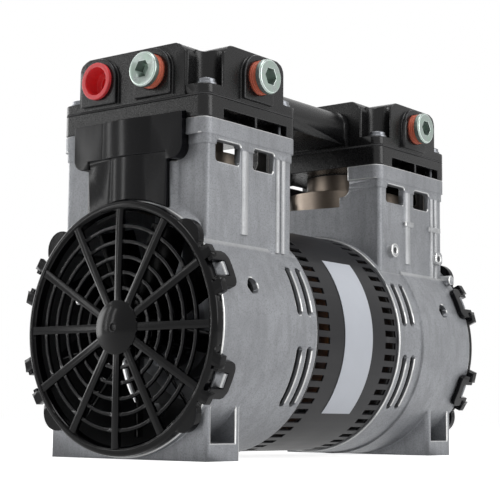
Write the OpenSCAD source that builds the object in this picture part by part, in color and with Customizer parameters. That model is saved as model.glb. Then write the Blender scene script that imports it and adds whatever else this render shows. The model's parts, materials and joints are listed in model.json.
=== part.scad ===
// Twin rocking-piston air compressor, millimetres.
// The motor shaft lies along X at shaft_z, +Z is up, and the mounting feet stand on Z = 0.
// Each end is drawn once in its own frame, where U runs outward along the shaft from the
// machine's middle, and the near end is that drawing turned half a turn about Z.

/* [Machine] */
// Height of the shaft axis above the mounting plane
shaft_z = 75.4; // [75:0.2:90]
// Height of the cylinder deck above the shaft axis
deck_rise = 119.5; // [115:0.5:135]
// Stroke of each piston
stroke = 10; // [8:0.5:11]
// Cylinder bore
bore_d = 50.8; // [48:0.2:54]

/* [Motor] */
// Length of the motor shell between the two housings
shell_l = 93.2; // [90:0.2:110]
// How far the motor shell's surface lies below the round housing's
shell_step = 1.3; // [0.5:0.1:2.5]
// Thickness of the shell's sheet
shell_t = 1.5; // [1:0.1:2]
// Length of the stator core
stator_l = 50; // [40:1:52]
// Thickness of the stator's ring, from the shell to its bore
stator_ring_t = 32.7; // [30:0.1:35]
// Number of vent slots round each end of the shell
vent_count = 58; // [40:1:60]
// Length of a vent slot along the shaft
vent_l = 12.2; // [8:0.1:13]
// Width of a vent slot round the shell
vent_w = 4; // [3:0.1:5]

/* [Housing] */
// Outside diameter of the round housing
body_d = 147; // [146:0.2:150]
// Length of the round housing along the shaft
body_l = 91; // [90:0.5:100]
// Wall of the round housing
body_wall = 4; // [3:0.5:5]
// Length of the cylinder tower along the shaft
tower_l = 82; // [80:0.5:84]
// Width of the cylinder tower
tower_w = 112; // [110:0.5:114]
// Wall of the cylinder tower
tower_wall = 4; // [3:0.5:5]
// Length of the tower's flange along the shaft
flange_l = 88.8; // [88:0.2:92]
// Width of the tower's flange
flange_w = 115.4; // [115:0.2:120]
// Thickness of the tower's flange
flange_t = 9.8; // [8:0.2:11]
// Length of a foot along the shaft
foot_l = 29.1; // [26:0.1:32]
// Width across the feet
foot_w = 120.4; // [118:0.2:124]
// Diameter of the mounting holes in the feet
foot_hole_d = 7; // [5:0.5:9]
// Distance between the mounting holes across the shaft
foot_hole_span = 100; // [96:0.5:104]

/* [Heads] */
// Thickness of the valve plate
plate_t = 12.7; // [11:0.1:15]
// Thickness of the head gasket
gasket_t = 0.8; // [0.5:0.1:1.2]
// Height of the head above its gasket
head_h = 31.6; // [30:0.2:36]
// Thickness of the head's base flange
head_base_t = 5.8; // [4:0.2:7]
// Wall of the head
head_wall = 5; // [4:0.5:6]
// Diameter of the threaded ports
port_d = 20.4; // [18:0.1:21]
// Diameter of the head bolts
bolt_d = 6; // [5:0.5:7]

/* [Fan end] */
// How far the guard's rim stands out past the round housing
guard_proud = 0.5; // [0:0.1:1.2]
// Width of the guard's rim
guard_rim_w = 5.7; // [5.4:0.1:7]
// Number of spokes in the guard
spoke_count = 12; // [8:1:16]
// Number of rings in the guard
ring_count = 5; // [3:1:6]
// Clearance between the fan and the round housing's inside
fan_clear = 6.5; // [4:0.5:12]
// Number of fan blades
blade_count = 9; // [6:1:12]

/* [Hidden] */

// One overrun for every cut, and the roundness of turned surfaces
over = 1;
fine = 64;

// Places along the shaft, outward from the middle of the motor
face_u = shell_l / 2;
cyl_u = face_u + flange_l / 2;
body_end_u = face_u + body_l;
tower_in_u = cyl_u - tower_l / 2;
tower_out_u = cyl_u + tower_l / 2;
flange_out_u = face_u + flange_l;

// Heights
deck_z = shaft_z + deck_rise;
plate_top_z = deck_z + plate_t;
head_z = plate_top_z + gasket_t;
head_seat_z = head_z + head_base_t;
head_top_z = head_z + head_h;

// Radii of the round housing and the shell
body_r = body_d / 2;
body_in_r = body_r - body_wall;
shell_r = body_r - shell_step;
shell_in_r = shell_r - shell_t;
stator_bore = 2 * (shell_in_r - stator_ring_t);
fan_d = 2 * (body_in_r - fan_clear);
guard_d = body_d + 2 * guard_proud;
guard_open_d = guard_d - 2 * guard_rim_w;

// Housing details
step_h = 1.3;
step_in = 28.4;
step_u = face_u + step_in;
web_t = 5.5;
spigot_l = 3;
spigot_fit = 0.05;
spigot_wall = 2.5;
web_hole_d = 17;
web_hole_count = 6;
web_hole_in = 22.5;
web_hole_r = body_in_r - web_hole_in;
louvre_w = 5;
louvre_in = 7.4;
louvre_in_u = face_u + louvre_in;
louvre_pitch = 10;
louvre_up = [7.5, 32];
louvre_down = [-37, -6.8];
side_hole_d = 9.5;
side_hole_in = 60.8;
side_hole_u = face_u + side_hole_in;
side_hole_lift = 18.5;

// Tower details
tower_corner_r = 3;
flange_corner_r = 6.5;
collar_h = 5.4;
collar_out = 0.9;
post_r = 8;
post_inset_u = 8.9;
post_inset_v = 7.2;
post_u = flange_l / 2 - post_inset_u;
post_v = flange_w / 2 - post_inset_v;
post_tap_l = 26;
shelf_down = 26.4;
shelf_top_z = deck_z - shelf_down;
shelf_t = 12;
window_down = 18.5;
window_z = deck_z - window_down;
window_h = 12.2;
window_r = 2;
window_a = [10.9, 33.4];
window_b = [-21.7, -1.9];
gap_w = 64;
gap_low_w = 46.8;
gap_step_down = 20;
gap_step_z = deck_z - gap_step_down;
gap_r = 8;
rib_top_z = deck_z - flange_t - collar_h;
rib_mid = [2.4, 10];
rib_mid_rise = 54.8;
rib_mid_low_z = shaft_z + rib_mid_rise;
rib_wide = [-33.6, -23.6];
rib_wide_rise = 47.3;
rib_wide_low_z = shaft_z + rib_wide_rise;
rib_groove = 1.2;
rib_out = 1.6;
rib_collar_down = 38.9;
rib_collar_z = deck_z - rib_collar_down;
rib_collar_h = 3.2;
rib_collar_out = 0.8;
rib_collar_side = 1.5;

// Screw bosses on one side of the tower, along U and above the shaft
boss_d = 9.4;
boss_hole_d = 4;
boss_hole_l = 8;
boss_out = 4.2;
boss_uz = [[-27.8, 62.1], [30.2, 61.8]];
small_boss_uz = [39, 47];
small_boss_d = 7;
small_boss_l = 10;

// Slopes of metal on the tower's front, beside the duct and above the round housing
ramp_w = 3.5;
web_ramp = 4;
web_ramp_side = 3;

// Feet
foot_back = 3.8;
foot_out_u = body_end_u - foot_back;
foot_in_u = foot_out_u - foot_l;
foot_floor_t = 10.1;
foot_wall = 3.7;
foot_h = 34;
foot_pocket_v = 34;
foot_hole_u = (foot_in_u + foot_out_u) / 2;

// Shaft and bearings
shaft_mid_d = 24;
shaft_end_d = 15;
shaft_short = 2;
shaft_tip_u = body_end_u - shaft_short;
bearing_d = 40;
bearing_bore = 17;
bearing_w = 12;
bearing_u = face_u + web_t;
bearing_ring_t = 3.6;
bearing_lip = 2;
bearing_boss_wall = 6;
ball_count = 8;
ball_fit = 0.15;
ring_groove = 1;

// Crank
throw = stroke / 2;
rod_bearing_d = 55;
rod_bearing_bore = 30;
rod_bearing_w = 13;
rod_ring_t = 4;
rod_ball_count = 12;
crank_gap = 1.5;
ecc_in_u = bearing_u + bearing_w + crank_gap;
ecc_shoulder_d = 35;
ecc_shoulder_t = 3;
counter_r = 41;
counter_t = 10;
ecc_hub_d = 34;
set_screw_d = 5;
set_screw_sink = 1;

// Rod, piston and cup
rod_wall = 6.5;
rod_neck_w = 17;
rod_neck_t = 11;
neck_lighten_w = 9;
neck_pocket = 6;
top_clear = 3;
retainer_t = 2.5;
retainer_d = 34;
cup_t = 1.2;
cup_lip_t = 1;
cup_lip_h = 4.5;
cup_fit = 0.25;
piston_t = 8;
piston_gap = 0.4;
screw_d = 6;
screw_head_d = 12;
screw_head_t = 1.6;
screw_l = 12;

// Cylinder sleeve
sleeve_wall = 1.6;
sleeve_down = 45;
sleeve_flange_r = 40.5;
sleeve_flange_t = 12.8;
sleeve_fit = 0.15;
seal_t = 0.5;

// Valve plate and reeds
plate_slot = [-33.2, 27.8];
plate_slot_h = 6.2;
plate_slot_deep = 13;
slot_rib_w = 2;
reed_t = 0.3;
reed_w = 11;
reed_l = 32;
reed_root = 18;
reed_v = 10;
valve_hole_d = 6;
valve_hole_s = [2, 10];
rivet_d = 3;
rivet_head_d = 6;
rivet_head_t = 1;
stop_t = 1;
stop_flat = 8;
stop_tilt = 5;
rivet_edge = 0.5;
rivet_s = -reed_root + rivet_head_d / 2 + rivet_edge;
rivet_slack = 0.4;
reed_slack = 0.6;

// Head
head_arm_u = [-29.2, 28.4];
head_arm_v = 84;
head_round_r = 8;
notch_r = 8.5;
bead_r = 1.7;
bead_drop = 3;
port_rise = 16.2;
port_z = head_z + port_rise;
port_pad_out = 3;
port_pad_w = 28;
port_pad_rise = 1.8;
port_pad_low_z = head_z + port_pad_rise;
end_port_v = [-24, 19];
side_port_s = -1.6;
chamber_rib = 5;
port_deep = 4;
head_proud = 0.8;

// Bolts
bolt_head_d = 11;
bolt_head_t = 5;
bolt_washer_d = 12.6;
bolt_washer_t = 1.4;
bolt_key = 5;
bolt_key_deep = 3;
bolt_fit = 0.3;
bolt_dome = 1.6;
bolt_grip = 22;
bolt_down = head_base_t + gasket_t + plate_t + bolt_grip;

// Manifold
duct_half_w = 32.7;
manifold_rise = 0.8;
manifold_z = head_z + manifold_rise;
manifold_h = 23.6;
manifold_r = 11;
manifold_bore = 17;
manifold_v = 16.5;
manifold_fit = 0.3;
manifold_port_z = manifold_z + manifold_h / 2;
spout_d = 22;
spout_l = 9;
spout_fit = 0.3;
spout_groove_w = 2.6;
spout_groove_t = 1.5;
manifold_collar_l = 5;
manifold_collar_out = 1.6;

// Plugs and cap
plug_d = 20.8;
plug_head_l = 4.2;
plug_key = 9.5;
plug_key_deep = 7;
plug_out = 8.4;
plug_edge = 0.8;
plug_in = 12;
sealant_t = 0.9;
thread_pitch = 1.4;
thread_deep = 0.6;
cap_flange_d = 22.6;
cap_flange_t = 2.6;
cap_stem_l = 12;
cap_wall = 1.4;
cap_fit = 0.3;
cap_step_d = 9;
cap_step_l = 3;
cap_floor_t = 1.2;

// Guard
guard_deep = 6.2;
guard_face_u = body_end_u + guard_deep;
guard_grid_t = 3;
guard_rim_r = 2.4;
hub_r = 15.8;
hub_out = 3.4;
hub_edge = 0.5;
hub_dimple_r = 2;
spoke_w = 4.6;
ring_w = 2.2;
ring_hub_gap = 7.4;
ring_first_r = hub_r + ring_hub_gap;
ring_rim_gap = 9.3;
ring_last_r = guard_open_d / 2 - ring_rim_gap;
lobe_r = 11;
lobe_sink = 4.5;
lobe_at = body_r - lobe_sink;
lobe_angle = 45;
loop_angle = 23.5;
loop_l = 16;
loop_t = 3.2;
loop_gap = 0.4;
loop_bar = 5.5;
loop_w = 22.4;
loop_open_w = 9.6;
loop_sag = 4;
loop_lead = 1.6;
loop_corner = 5.5;
shoulder_w = 7.2;
shoulder_at = 10.9;
shoulder_out = 1.1;
shoulder_lift = 0.4;
shoulder_lead = 0.9;
ring_sink = 0.8;
rim_groove_r = 0.5;
lug_w = 8;
lug_l = 4.8;
lug_h = 3.6;
lug_back = 0.4;

// Duct
duct_out = 1.6;
duct_face_u = body_end_u + duct_out;
duct_top_w = 85.4;
duct_low_w = 62;
duct_top_rise = 3.6;
duct_top_z = deck_z + duct_top_rise;
duct_mid_down = 18.6;
duct_mid_z = deck_z - duct_mid_down;
duct_ear_down = 23.4;
duct_ear_z = deck_z - duct_ear_down;
duct_step = 1;
duct_low_share = 0.68;
duct_root = 13.5;
duct_low_z = shaft_z + body_r - duct_root;
duct_wall = 2;
duct_corner_r = 7;
duct_bulge = 2.2;
duct_bulge_w = 40;
duct_gap = 0.3;
duct_way_side = 6;

// Name plate, wrapped round the shell
label_l = 31;
label_t = 0.3;
label_half = 41.2;
label_gap = 0.1;

// Motor inside
rotor_gap = 0.5;
rotor_ring_l = 5;
rotor_ring_t = 12;
rotor_fin_count = 12;
rotor_fin_l = 4;
rotor_fin_sink = 1;
stator_slot_count = 24;
stator_slot_w = 5;
stator_slot_deep = 15;
stator_slot_mouth = 2.4;
tie_d = 5;
tie_fit = 0.4;
tie_clear = 0.5;
tie_r = shell_in_r - spigot_wall - tie_d / 2 - tie_clear;
tie_head_d = 8;
tie_head_t = 4;
tie_angle = 45;

// Windings: a plain bundle with one layer of turns round it
coil_out = 16;
coil_mid_r = stator_bore / 2 + coil_out;
coil_core = 8.4;
coil_gap = 0.35;
coil_wire_r = 2;
coil_turns = 24;
coil_steps = 12;
coil_sides = 6;
coil_open = 10;
coil_lead = 1;
coil_clear = 0.2;
slot_liner = 0.5;
coil_u = stator_l / 2 + coil_lead + coil_clear + coil_core / 2 + coil_gap + 2 * coil_wire_r;

// Fan
fan_out = 23;
fan_u = cyl_u + fan_out;
fan_w = 18;
fan_hub_d = 34;
blade_t = 2;
blade_tilt = 32;
blade_edge = 0.5;

// Colours
cast_grey = "#93989c";
satin_black = "#2a2b2d";
gloss_black = "#17181a";

module near_end() { rotate([0, 0, 180]) children(); }

// Turned along U about the shaft axis, starting at u
module along(u) { translate([u, 0, shaft_z]) rotate([0, 90, 0]) children(); }

module rod_bar(u, l, d) { along(u) cylinder(h = l, d = d, $fn = fine); }

module ring_bar(u, l, d_out, d_in) {
    difference() {
        rod_bar(u, l, d_out);
        rod_bar(u - over, l + 2 * over, d_in);
    }
}

module up_ring(z, h, d_out, d_in) {
    translate([cyl_u, 0, z]) difference() {
        cylinder(h = h, d = d_out, $fn = fine);
        translate([0, 0, -over]) cylinder(h = h + 2 * over, d = d_in, $fn = fine);
    }
}

module box_between(a, b) { translate(a) cube([b[0] - a[0], b[1] - a[1], b[2] - a[2]]); }

module round_rect(l, w, r) {
    union() {
        square([l - 2 * r, w], center = true);
        square([l, w - 2 * r], center = true);
        for (x = [-1, 1], y = [-1, 1])
            translate([x * (l / 2 - r), y * (w / 2 - r)]) circle(r = r, $fn = 32);
    }
}

// A rounded block over the flange's plan, from z up
module flange_block(z, h) {
    translate([cyl_u, 0, z]) linear_extrude(h)
        round_rect(flange_l, flange_w, flange_corner_r);
}

// The four bolt places, seen from the cylinder's axis
module at_bolts() {
    for (s = [-1, 1], v = [-1, 1])
        translate([cyl_u + s * post_u, v * post_v, 0]) children();
}

// Both sides of the tower are the same, half a turn apart about the cylinder's axis
module both_sides() {
    for (a = [0, 180])
        translate([cyl_u, 0, 0]) rotate([0, 0, a]) children();
}

// Angle about the shaft, in an along() frame, of a place a degrees above the side's level
function side_angle(side, a) = side > 0 ? 90 + a : 270 - a;

module radial_hole(u, angle, d, r_in, r_out) {
    along(u) rotate([0, 0, angle]) translate([r_in, 0, 0]) rotate([0, 90, 0])
        cylinder(h = r_out - r_in, d = d, $fn = 32);
}

// Pairs of slots on both sides, cored straight along V as a casting's are
module louvres() {
    for (side = [-1, 1], i = [0, 1], band = [louvre_up, louvre_down])
        translate([louvre_in_u + i * louvre_pitch, side * body_in_r / 2, shaft_z])
            rotate([90, 0, side > 0 ? 180 : 0]) linear_extrude(body_r)
                slot_outline(body_r * sin(band[0]), body_r * sin(band[1]));
}

// A round hole in each side, above the level of the shaft
module side_holes() {
    for (side = [-1, 1])
        translate([side_hole_u, side * body_in_r / 2, shaft_z + body_r * sin(side_hole_lift)])
            rotate([side > 0 ? -90 : 90, 0, 0]) cylinder(h = body_r, d = side_hole_d, $fn = 32);
}

// Centred across, from one height to the other, with round ends
module slot_outline(low, high) {
    union() {
        translate([-louvre_w / 2, low + louvre_w / 2]) square([louvre_w, high - low - louvre_w]);
        for (y = [low + louvre_w / 2, high - louvre_w / 2]) translate([0, y]) circle(d = louvre_w, $fn = 32);
    }
}

// A half-round rib that stands out of the tower's side
module round_rib(s, low, high, out) {
    half = (s[1] - s[0]) / 2;
    r = (half * half + out * out) / (2 * out);
    translate([(s[0] + s[1]) / 2, tower_w / 2 + out - r, low]) cylinder(h = high - low, r = r, $fn = fine);
}

module side_ribs() {
    split = (rib_wide[0] + rib_wide[1]) / 2;
    round_rib(rib_mid, rib_mid_low_z, rib_top_z, rib_out);
    round_rib([rib_wide[0], split - rib_groove / 2], rib_wide_low_z, rib_top_z, rib_out);
    round_rib([split + rib_groove / 2, rib_wide[1]], rib_wide_low_z, rib_top_z, rib_out);
}

module rib_collars() {
    for (s = [rib_mid, rib_wide])
        translate([cyl_u, 0, 0]) rotate([0, 0, 180])
            box_between([s[0] - rib_collar_side, tower_w / 2 - over, rib_collar_z],
                [s[1] + rib_collar_side, tower_w / 2 + rib_out + rib_collar_out, rib_collar_z + rib_collar_h]);
}

module side_windows() {
    for (s = [window_a, window_b])
        translate([(s[0] + s[1]) / 2, tower_w / 2 + over, window_z]) rotate([90, 0, 0])
            linear_extrude(tower_wall + 2 * over) round_rect(s[1] - s[0], window_h, window_r);
}

// The bosses stand on the -V side only
module bosses() {
    for (p = boss_uz)
        translate([cyl_u + p[0], -tower_w / 2 + over, shaft_z + p[1]]) rotate([90, 0, 0])
            cylinder(h = boss_out + over, d = boss_d, $fn = 32);
    translate([cyl_u + small_boss_uz[0], -tower_w / 2 + over, shaft_z + small_boss_uz[1]])
        rotate([90, 0, 0]) cylinder(h = small_boss_l, d = small_boss_d, $fn = 32);
}

module boss_holes() {
    for (p = boss_uz)
        translate([cyl_u + p[0], -tower_w / 2 - boss_out - over, shaft_z + p[1]]) rotate([-90, 0, 0])
            cylinder(h = boss_hole_l + over, d = boss_hole_d, $fn = 32);
}

// Sloping strips beside the duct's lower run, and slopes where the tower meets the round housing
module tower_slopes() {
    edge = duct_low_w / 2 + duct_gap;
    top = duct_ear_z - duct_gap;
    for (v = [-1, 1]) {
        translate([tower_out_u, v * edge, duct_low_z]) linear_extrude(top - duct_low_z)
            polygon([[-over, 0], [ramp_w, 0], [0, v * ramp_w], [-over, v * ramp_w]]);
        intersection() {
            along(tower_out_u) cylinder(h = web_ramp + over,
                r1 = body_r + step_h + web_ramp, r2 = body_r + step_h - over, $fn = fine);
            box_between([tower_out_u - over, v > 0 ? edge : -tower_w / 2 + web_ramp_side, shaft_z],
                [body_end_u, v > 0 ? tower_w / 2 - web_ramp_side : -edge, duct_ear_z]);
        }
    }
}

module feet() {
    box_between([foot_in_u, -foot_w / 2, 0], [foot_out_u, foot_w / 2, foot_floor_t]);
    for (u = [foot_in_u, foot_out_u - foot_wall])
        box_between([u, -foot_w / 2, 0], [u + foot_wall, foot_w / 2, foot_h]);
    box_between([foot_in_u, -foot_pocket_v, 0], [foot_out_u, foot_pocket_v, foot_h / 2]);
}

module guard_lugs() {
    r = body_r + step_h;
    for (side = [-1, 1], s = [-1, 1])
        along(body_end_u - lug_l - lug_back) rotate([0, 0, side_angle(side, s * loop_angle)])
            translate([r - over, -lug_w / 2, 0]) difference() {
                cube([lug_h + over, lug_w, lug_l]);
                translate([over, -over, lug_l]) rotate([0, atan(lug_h / lug_l), 0])
                    cube([2 * lug_h, lug_w + 2 * over, lug_l]);
            }
}

// The part of the tower's inside that the bolt posts leave free
module chamber_plan() {
    difference() {
        square([tower_l - 2 * tower_wall, tower_w - 2 * tower_wall], center = true);
        for (s = [-1, 1], v = [-1, 1])
            translate([s * post_u, v * post_v]) circle(r = post_r, $fn = 48);
    }
}

module tower_openings() {
    translate([cyl_u, 0, shelf_top_z]) linear_extrude(deck_z - shelf_top_z + over) chamber_plan();
    box_between([tower_in_u + tower_wall, -tower_w / 2 + tower_wall, shaft_z],
        [tower_out_u - tower_wall, tower_w / 2 - tower_wall, shelf_top_z - shelf_t]);
    // The gap towards the motor, wider above its step
    translate([face_u - over, 0, gap_step_z]) rotate([90, 0, 90])
        linear_extrude(tower_in_u + tower_wall - face_u + 2 * over)
            translate([0, flange_w / 2]) round_rect(gap_w, flange_w, gap_r);
    box_between([face_u - over, -gap_low_w / 2, shelf_top_z],
        [tower_in_u + tower_wall + over, gap_low_w / 2, gap_step_z + gap_r]);
    // The way in for the air from the duct, and the seat of the duct's wide top
    for (way = [[duct_top_w / 2 - duct_way_side, duct_ear_z + duct_corner_r],
                [duct_low_w / 2 - duct_wall, shelf_top_z]])
        box_between([tower_out_u - tower_wall - over, -way[0], way[1]],
            [flange_out_u + over, way[0], deck_z + over]);
    box_between([tower_out_u, -duct_top_w / 2 - duct_gap, rib_top_z],
        [flange_out_u + over, duct_top_w / 2 + duct_gap, deck_z + over]);
    // The way up from the fan into the duct
    box_between([tower_out_u, -duct_low_w / 2 + duct_wall, shaft_z],
        [body_end_u - duct_wall, duct_low_w / 2 - duct_wall, shaft_z + body_r + 2 * step_h]);
    translate([cyl_u, 0, shelf_top_z - shelf_t - over])
        cylinder(h = shelf_t + 2 * over, d = bore_d + 2 * (sleeve_wall + sleeve_fit), $fn = 96);
}

module housing() {
    color(cast_grey) difference() {
        union() {
            rod_bar(face_u, body_l, body_d);
            rod_bar(step_u, body_end_u - step_u, body_d + 2 * step_h);
            rod_bar(face_u - spigot_l, spigot_l + over, 2 * (shell_in_r - spigot_fit));
            translate([cyl_u, 0, shaft_z]) linear_extrude(deck_rise - flange_t)
                round_rect(tower_l, tower_w, tower_corner_r);
            translate([cyl_u, 0, rib_top_z]) linear_extrude(collar_h + over)
                round_rect(tower_l + 2 * collar_out, tower_w + 2 * collar_out, tower_corner_r + collar_out);
            flange_block(deck_z - flange_t, flange_t);
            both_sides() side_ribs();
            rib_collars();
            bosses();
            tower_slopes();
            feet();
            guard_lugs();
        }
        // The round inside, around the web and the bearing's boss
        difference() {
            rod_bar(face_u + web_t, body_l, 2 * body_in_r);
            rod_bar(face_u, web_t + bearing_w, bearing_d + 2 * bearing_boss_wall);
        }
        rod_bar(face_u - spigot_l - over, spigot_l + over, 2 * (shell_in_r - spigot_wall));
        rod_bar(bearing_u, bearing_w + over, bearing_d);
        rod_bar(face_u - over, web_t + 2 * over, bearing_d - 2 * bearing_lip);
        for (i = [0 : web_hole_count - 1])
            along(face_u - over) rotate([0, 0, 360 * i / web_hole_count]) translate([web_hole_r, 0, 0])
                cylinder(h = web_t + 2 * over, d = web_hole_d, $fn = 32);
        at_tie_bolts(face_u - over, web_t + 2 * over, tie_d);
        tower_openings();
        both_sides() side_windows();
        louvres();
        side_holes();
        boss_holes();
        at_bolts() translate([0, 0, deck_z - post_tap_l])
            cylinder(h = post_tap_l + over, d = bolt_d, $fn = 32);
        for (v = [-1, 1]) translate([foot_hole_u, v * foot_hole_span / 2, -over])
            cylinder(h = foot_floor_t + 2 * over, d = foot_hole_d, $fn = 32);
    }
}

module at_tie_bolts(u, l, d) {
    for (i = [0 : 3]) along(u) rotate([0, 0, tie_angle + 90 * i]) translate([tie_r, 0, 0])
        cylinder(h = l, d = d, $fn = 32);
}

module motor_shell() {
    color("#3c3d40") difference() {
        ring_bar(-face_u, shell_l, 2 * shell_r, 2 * shell_in_r);
        for (end = [-1, 1], i = [0 : vent_count - 1])
            translate([end * (face_u - spigot_l - vent_l / 2 - spigot_fit), 0, shaft_z])
                rotate([360 * i / vent_count, 0, 0]) translate([0, 0, shell_in_r + shell_t / 2])
                    cube([vent_l, vent_w, 2 * (shell_t + over)], center = true);
    }
}

module stator_core() {
    color("#6c6d70") difference() {
        rod_bar(-stator_l / 2, stator_l, 2 * shell_in_r);
        rod_bar(-stator_l / 2 - over, stator_l + 2 * over, stator_bore);
        for (i = [0 : stator_slot_count - 1])
            along(-stator_l / 2 - over) rotate([0, 0, 360 * i / stator_slot_count]) {
                translate([0, -stator_slot_mouth / 2, 0])
                    cube([stator_bore / 2 + stator_slot_w, stator_slot_mouth, stator_l + 2 * over]);
                translate([stator_bore / 2 + stator_slot_mouth, -stator_slot_w / 2, 0])
                    cube([stator_slot_deep, stator_slot_w, stator_l + 2 * over]);
            }
        at_tie_bolts(-stator_l / 2 - over, stator_l + 2 * over, tie_d + 2 * tie_fit);
    }
}

module slot_windings() {
    color("#b5672f") for (i = [0 : stator_slot_count - 1])
        along(-stator_l / 2 - coil_lead) rotate([0, 0, 360 * i / stator_slot_count])
            translate([stator_bore / 2 + stator_slot_mouth + slot_liner, -stator_slot_w / 2 + slot_liner, 0])
                cube([stator_slot_deep - 2 * slot_liner, stator_slot_w - 2 * slot_liner,
                    stator_l + 2 * coil_lead]);
}

// The layer of turns: an open helix round the bundle, swept with a small polygon
coil_path_r = coil_core / 2 + coil_gap + coil_wire_r;
function coil_turn(i) = 360 * i / coil_steps;
function coil_round(i) = coil_open / 2 + (360 - coil_open) * i / (coil_turns * coil_steps);
function out_dir(i) = let (a = coil_round(i), b = coil_turn(i))
    [cos(b) * cos(a), cos(b) * sin(a), sin(b)];
function coil_point(i) = let (a = coil_round(i))
    [coil_mid_r * cos(a), coil_mid_r * sin(a), 0] + coil_path_r * out_dir(i);
function unit(v) = v / norm(v);
function coil_heading(i) = unit(coil_point(i + 1 / 2) - coil_point(i - 1 / 2));
function coil_side(i, t) = unit(out_dir(i) - (out_dir(i) * t) * t);
function coil_ring(i) = let (t = coil_heading(i), n = coil_side(i, t), m = cross(t, n))
    [for (k = [0 : coil_sides - 1]) let (c = 360 * k / coil_sides)
        coil_point(i) + coil_wire_r * (cos(c) * n + sin(c) * m)];
coil_last = coil_turns * coil_steps;
coil_points = [for (i = [0 : coil_last]) each coil_ring(i)];
coil_faces = concat(
    [[for (k = [0 : coil_sides - 1]) k]],
    [for (i = [0 : coil_last - 1], k = [0 : coil_sides - 1])
        let (a = i * coil_sides + k, b = i * coil_sides + (k + 1) % coil_sides)
            each [[a, a + coil_sides, b + coil_sides], [a, b + coil_sides, b]]],
    [[for (k = [coil_sides - 1 : -1 : 0]) coil_last * coil_sides + k]]);
coil_least = min([for (i = [0 : coil_steps], k = [-coil_steps / 2 : coil_steps / 2])
    norm(coil_point(i + coil_steps) - coil_point(i + coil_steps * 2 + k))]) - 2 * coil_wire_r;
echo(coil_least_gap = coil_least);

module winding() {
    color("#b5672f") along(coil_u) {
        rotate_extrude($fn = 96) translate([coil_mid_r, 0]) circle(d = coil_core, $fn = 32);
        polyhedron(points = coil_points, faces = coil_faces, convexity = 10);
    }
}

module tie_bolts() {
    color("#8e9094") {
        at_tie_bolts(-face_u - web_t, shell_l + 2 * web_t, tie_d);
        for (u = [-face_u - web_t - tie_head_t, face_u + web_t])
            at_tie_bolts(u, tie_head_t, tie_head_d);
    }
}

module cylinder_sleeve() {
    color("#8a7256") difference() {
        union() {
            translate([cyl_u, 0, deck_z - sleeve_down])
                cylinder(h = sleeve_down - seal_t, d = bore_d + 2 * sleeve_wall, $fn = 96);
            translate([cyl_u, 0, shelf_top_z]) cylinder(h = sleeve_flange_t, r = sleeve_flange_r, $fn = 96);
        }
        translate([cyl_u, 0, deck_z - sleeve_down - over])
            cylinder(h = sleeve_down + 2 * over, d = bore_d, $fn = 96);
    }
}

module cylinder_seal() {
    color("#222222") up_ring(deck_z - seal_t, seal_t, bore_d + 2 * sleeve_wall, bore_d);
}

module valve_holes() {
    for (s = valve_hole_s, v = [-1, 1]) translate([cyl_u + s, v * reed_v, deck_z - over])
        cylinder(h = plate_t + 2 * over, d = valve_hole_d, $fn = 32);
}

module valve_plate() {
    color(satin_black) difference() {
        flange_block(deck_z, plate_t);
        for (v = [-1, 1], part = [0, 1]) {
            mid = (plate_slot[0] + plate_slot[1]) / 2;
            from = part == 0 ? plate_slot[0] : mid + slot_rib_w / 2;
            to = part == 0 ? mid - slot_rib_w / 2 : plate_slot[1];
            turned = v > 0 ? [from, to] : [-to, -from];
            v_low = v > 0 ? flange_w / 2 - plate_slot_deep : -flange_w / 2 - over;
            box_between([cyl_u + turned[0], v_low, deck_z - over],
                [cyl_u + turned[1], v_low + plate_slot_deep + over, deck_z + plate_slot_h]);
        }
        box_between([tower_out_u - duct_gap, -duct_top_w / 2 - duct_gap, deck_z - over],
            [flange_out_u + over, duct_top_w / 2 + duct_gap, duct_top_z + duct_gap]);
        valve_holes();
        for (v = [-1, 1]) translate([cyl_u + rivet_s, v * reed_v, deck_z - over])
            cylinder(h = plate_t + 2 * over, d = rivet_d, $fn = 32);
        at_bolts() translate([0, 0, deck_z - over])
            cylinder(h = plate_t + 2 * over, d = bolt_d + 2 * bolt_fit, $fn = 32);
    }
}

// A reed lies on the plate: side 1 is the +V one, up 1 is the upper face
module reed(side, up) {
    z = up > 0 ? plate_top_z : deck_z - reed_t;
    color("#a9adb2") difference() {
        union() {
            box_between([cyl_u - reed_root, side * reed_v - reed_w / 2, z],
                [cyl_u - reed_root + reed_l - reed_w / 2, side * reed_v + reed_w / 2, z + reed_t]);
            translate([cyl_u - reed_root + reed_l - reed_w / 2, side * reed_v, z])
                cylinder(h = reed_t, d = reed_w, $fn = 32);
        }
        translate([cyl_u + rivet_s, side * reed_v, z - over])
            cylinder(h = reed_t + 2 * over, d = rivet_d + 2 * rivet_slack, $fn = 32);
    }
}

module rivets(intake_side) {
    head_gap = reed_t + reed_slack;
    color("#b7bac0") {
        translate([cyl_u + rivet_s, intake_side * reed_v, deck_z - head_gap - rivet_head_t]) {
            cylinder(h = rivet_head_t, d = rivet_head_d, $fn = 32);
            cylinder(h = rivet_head_t + head_gap + plate_t, d = rivet_d, $fn = 32);
        }
        translate([cyl_u + rivet_s, -intake_side * reed_v, deck_z])
            cylinder(h = plate_t + head_gap + stop_t + rivet_head_t, d = rivet_d, $fn = 32);
        translate([cyl_u + rivet_s, -intake_side * reed_v, plate_top_z + head_gap + stop_t])
            cylinder(h = rivet_head_t, d = rivet_head_d, $fn = 32);
    }
}

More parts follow.
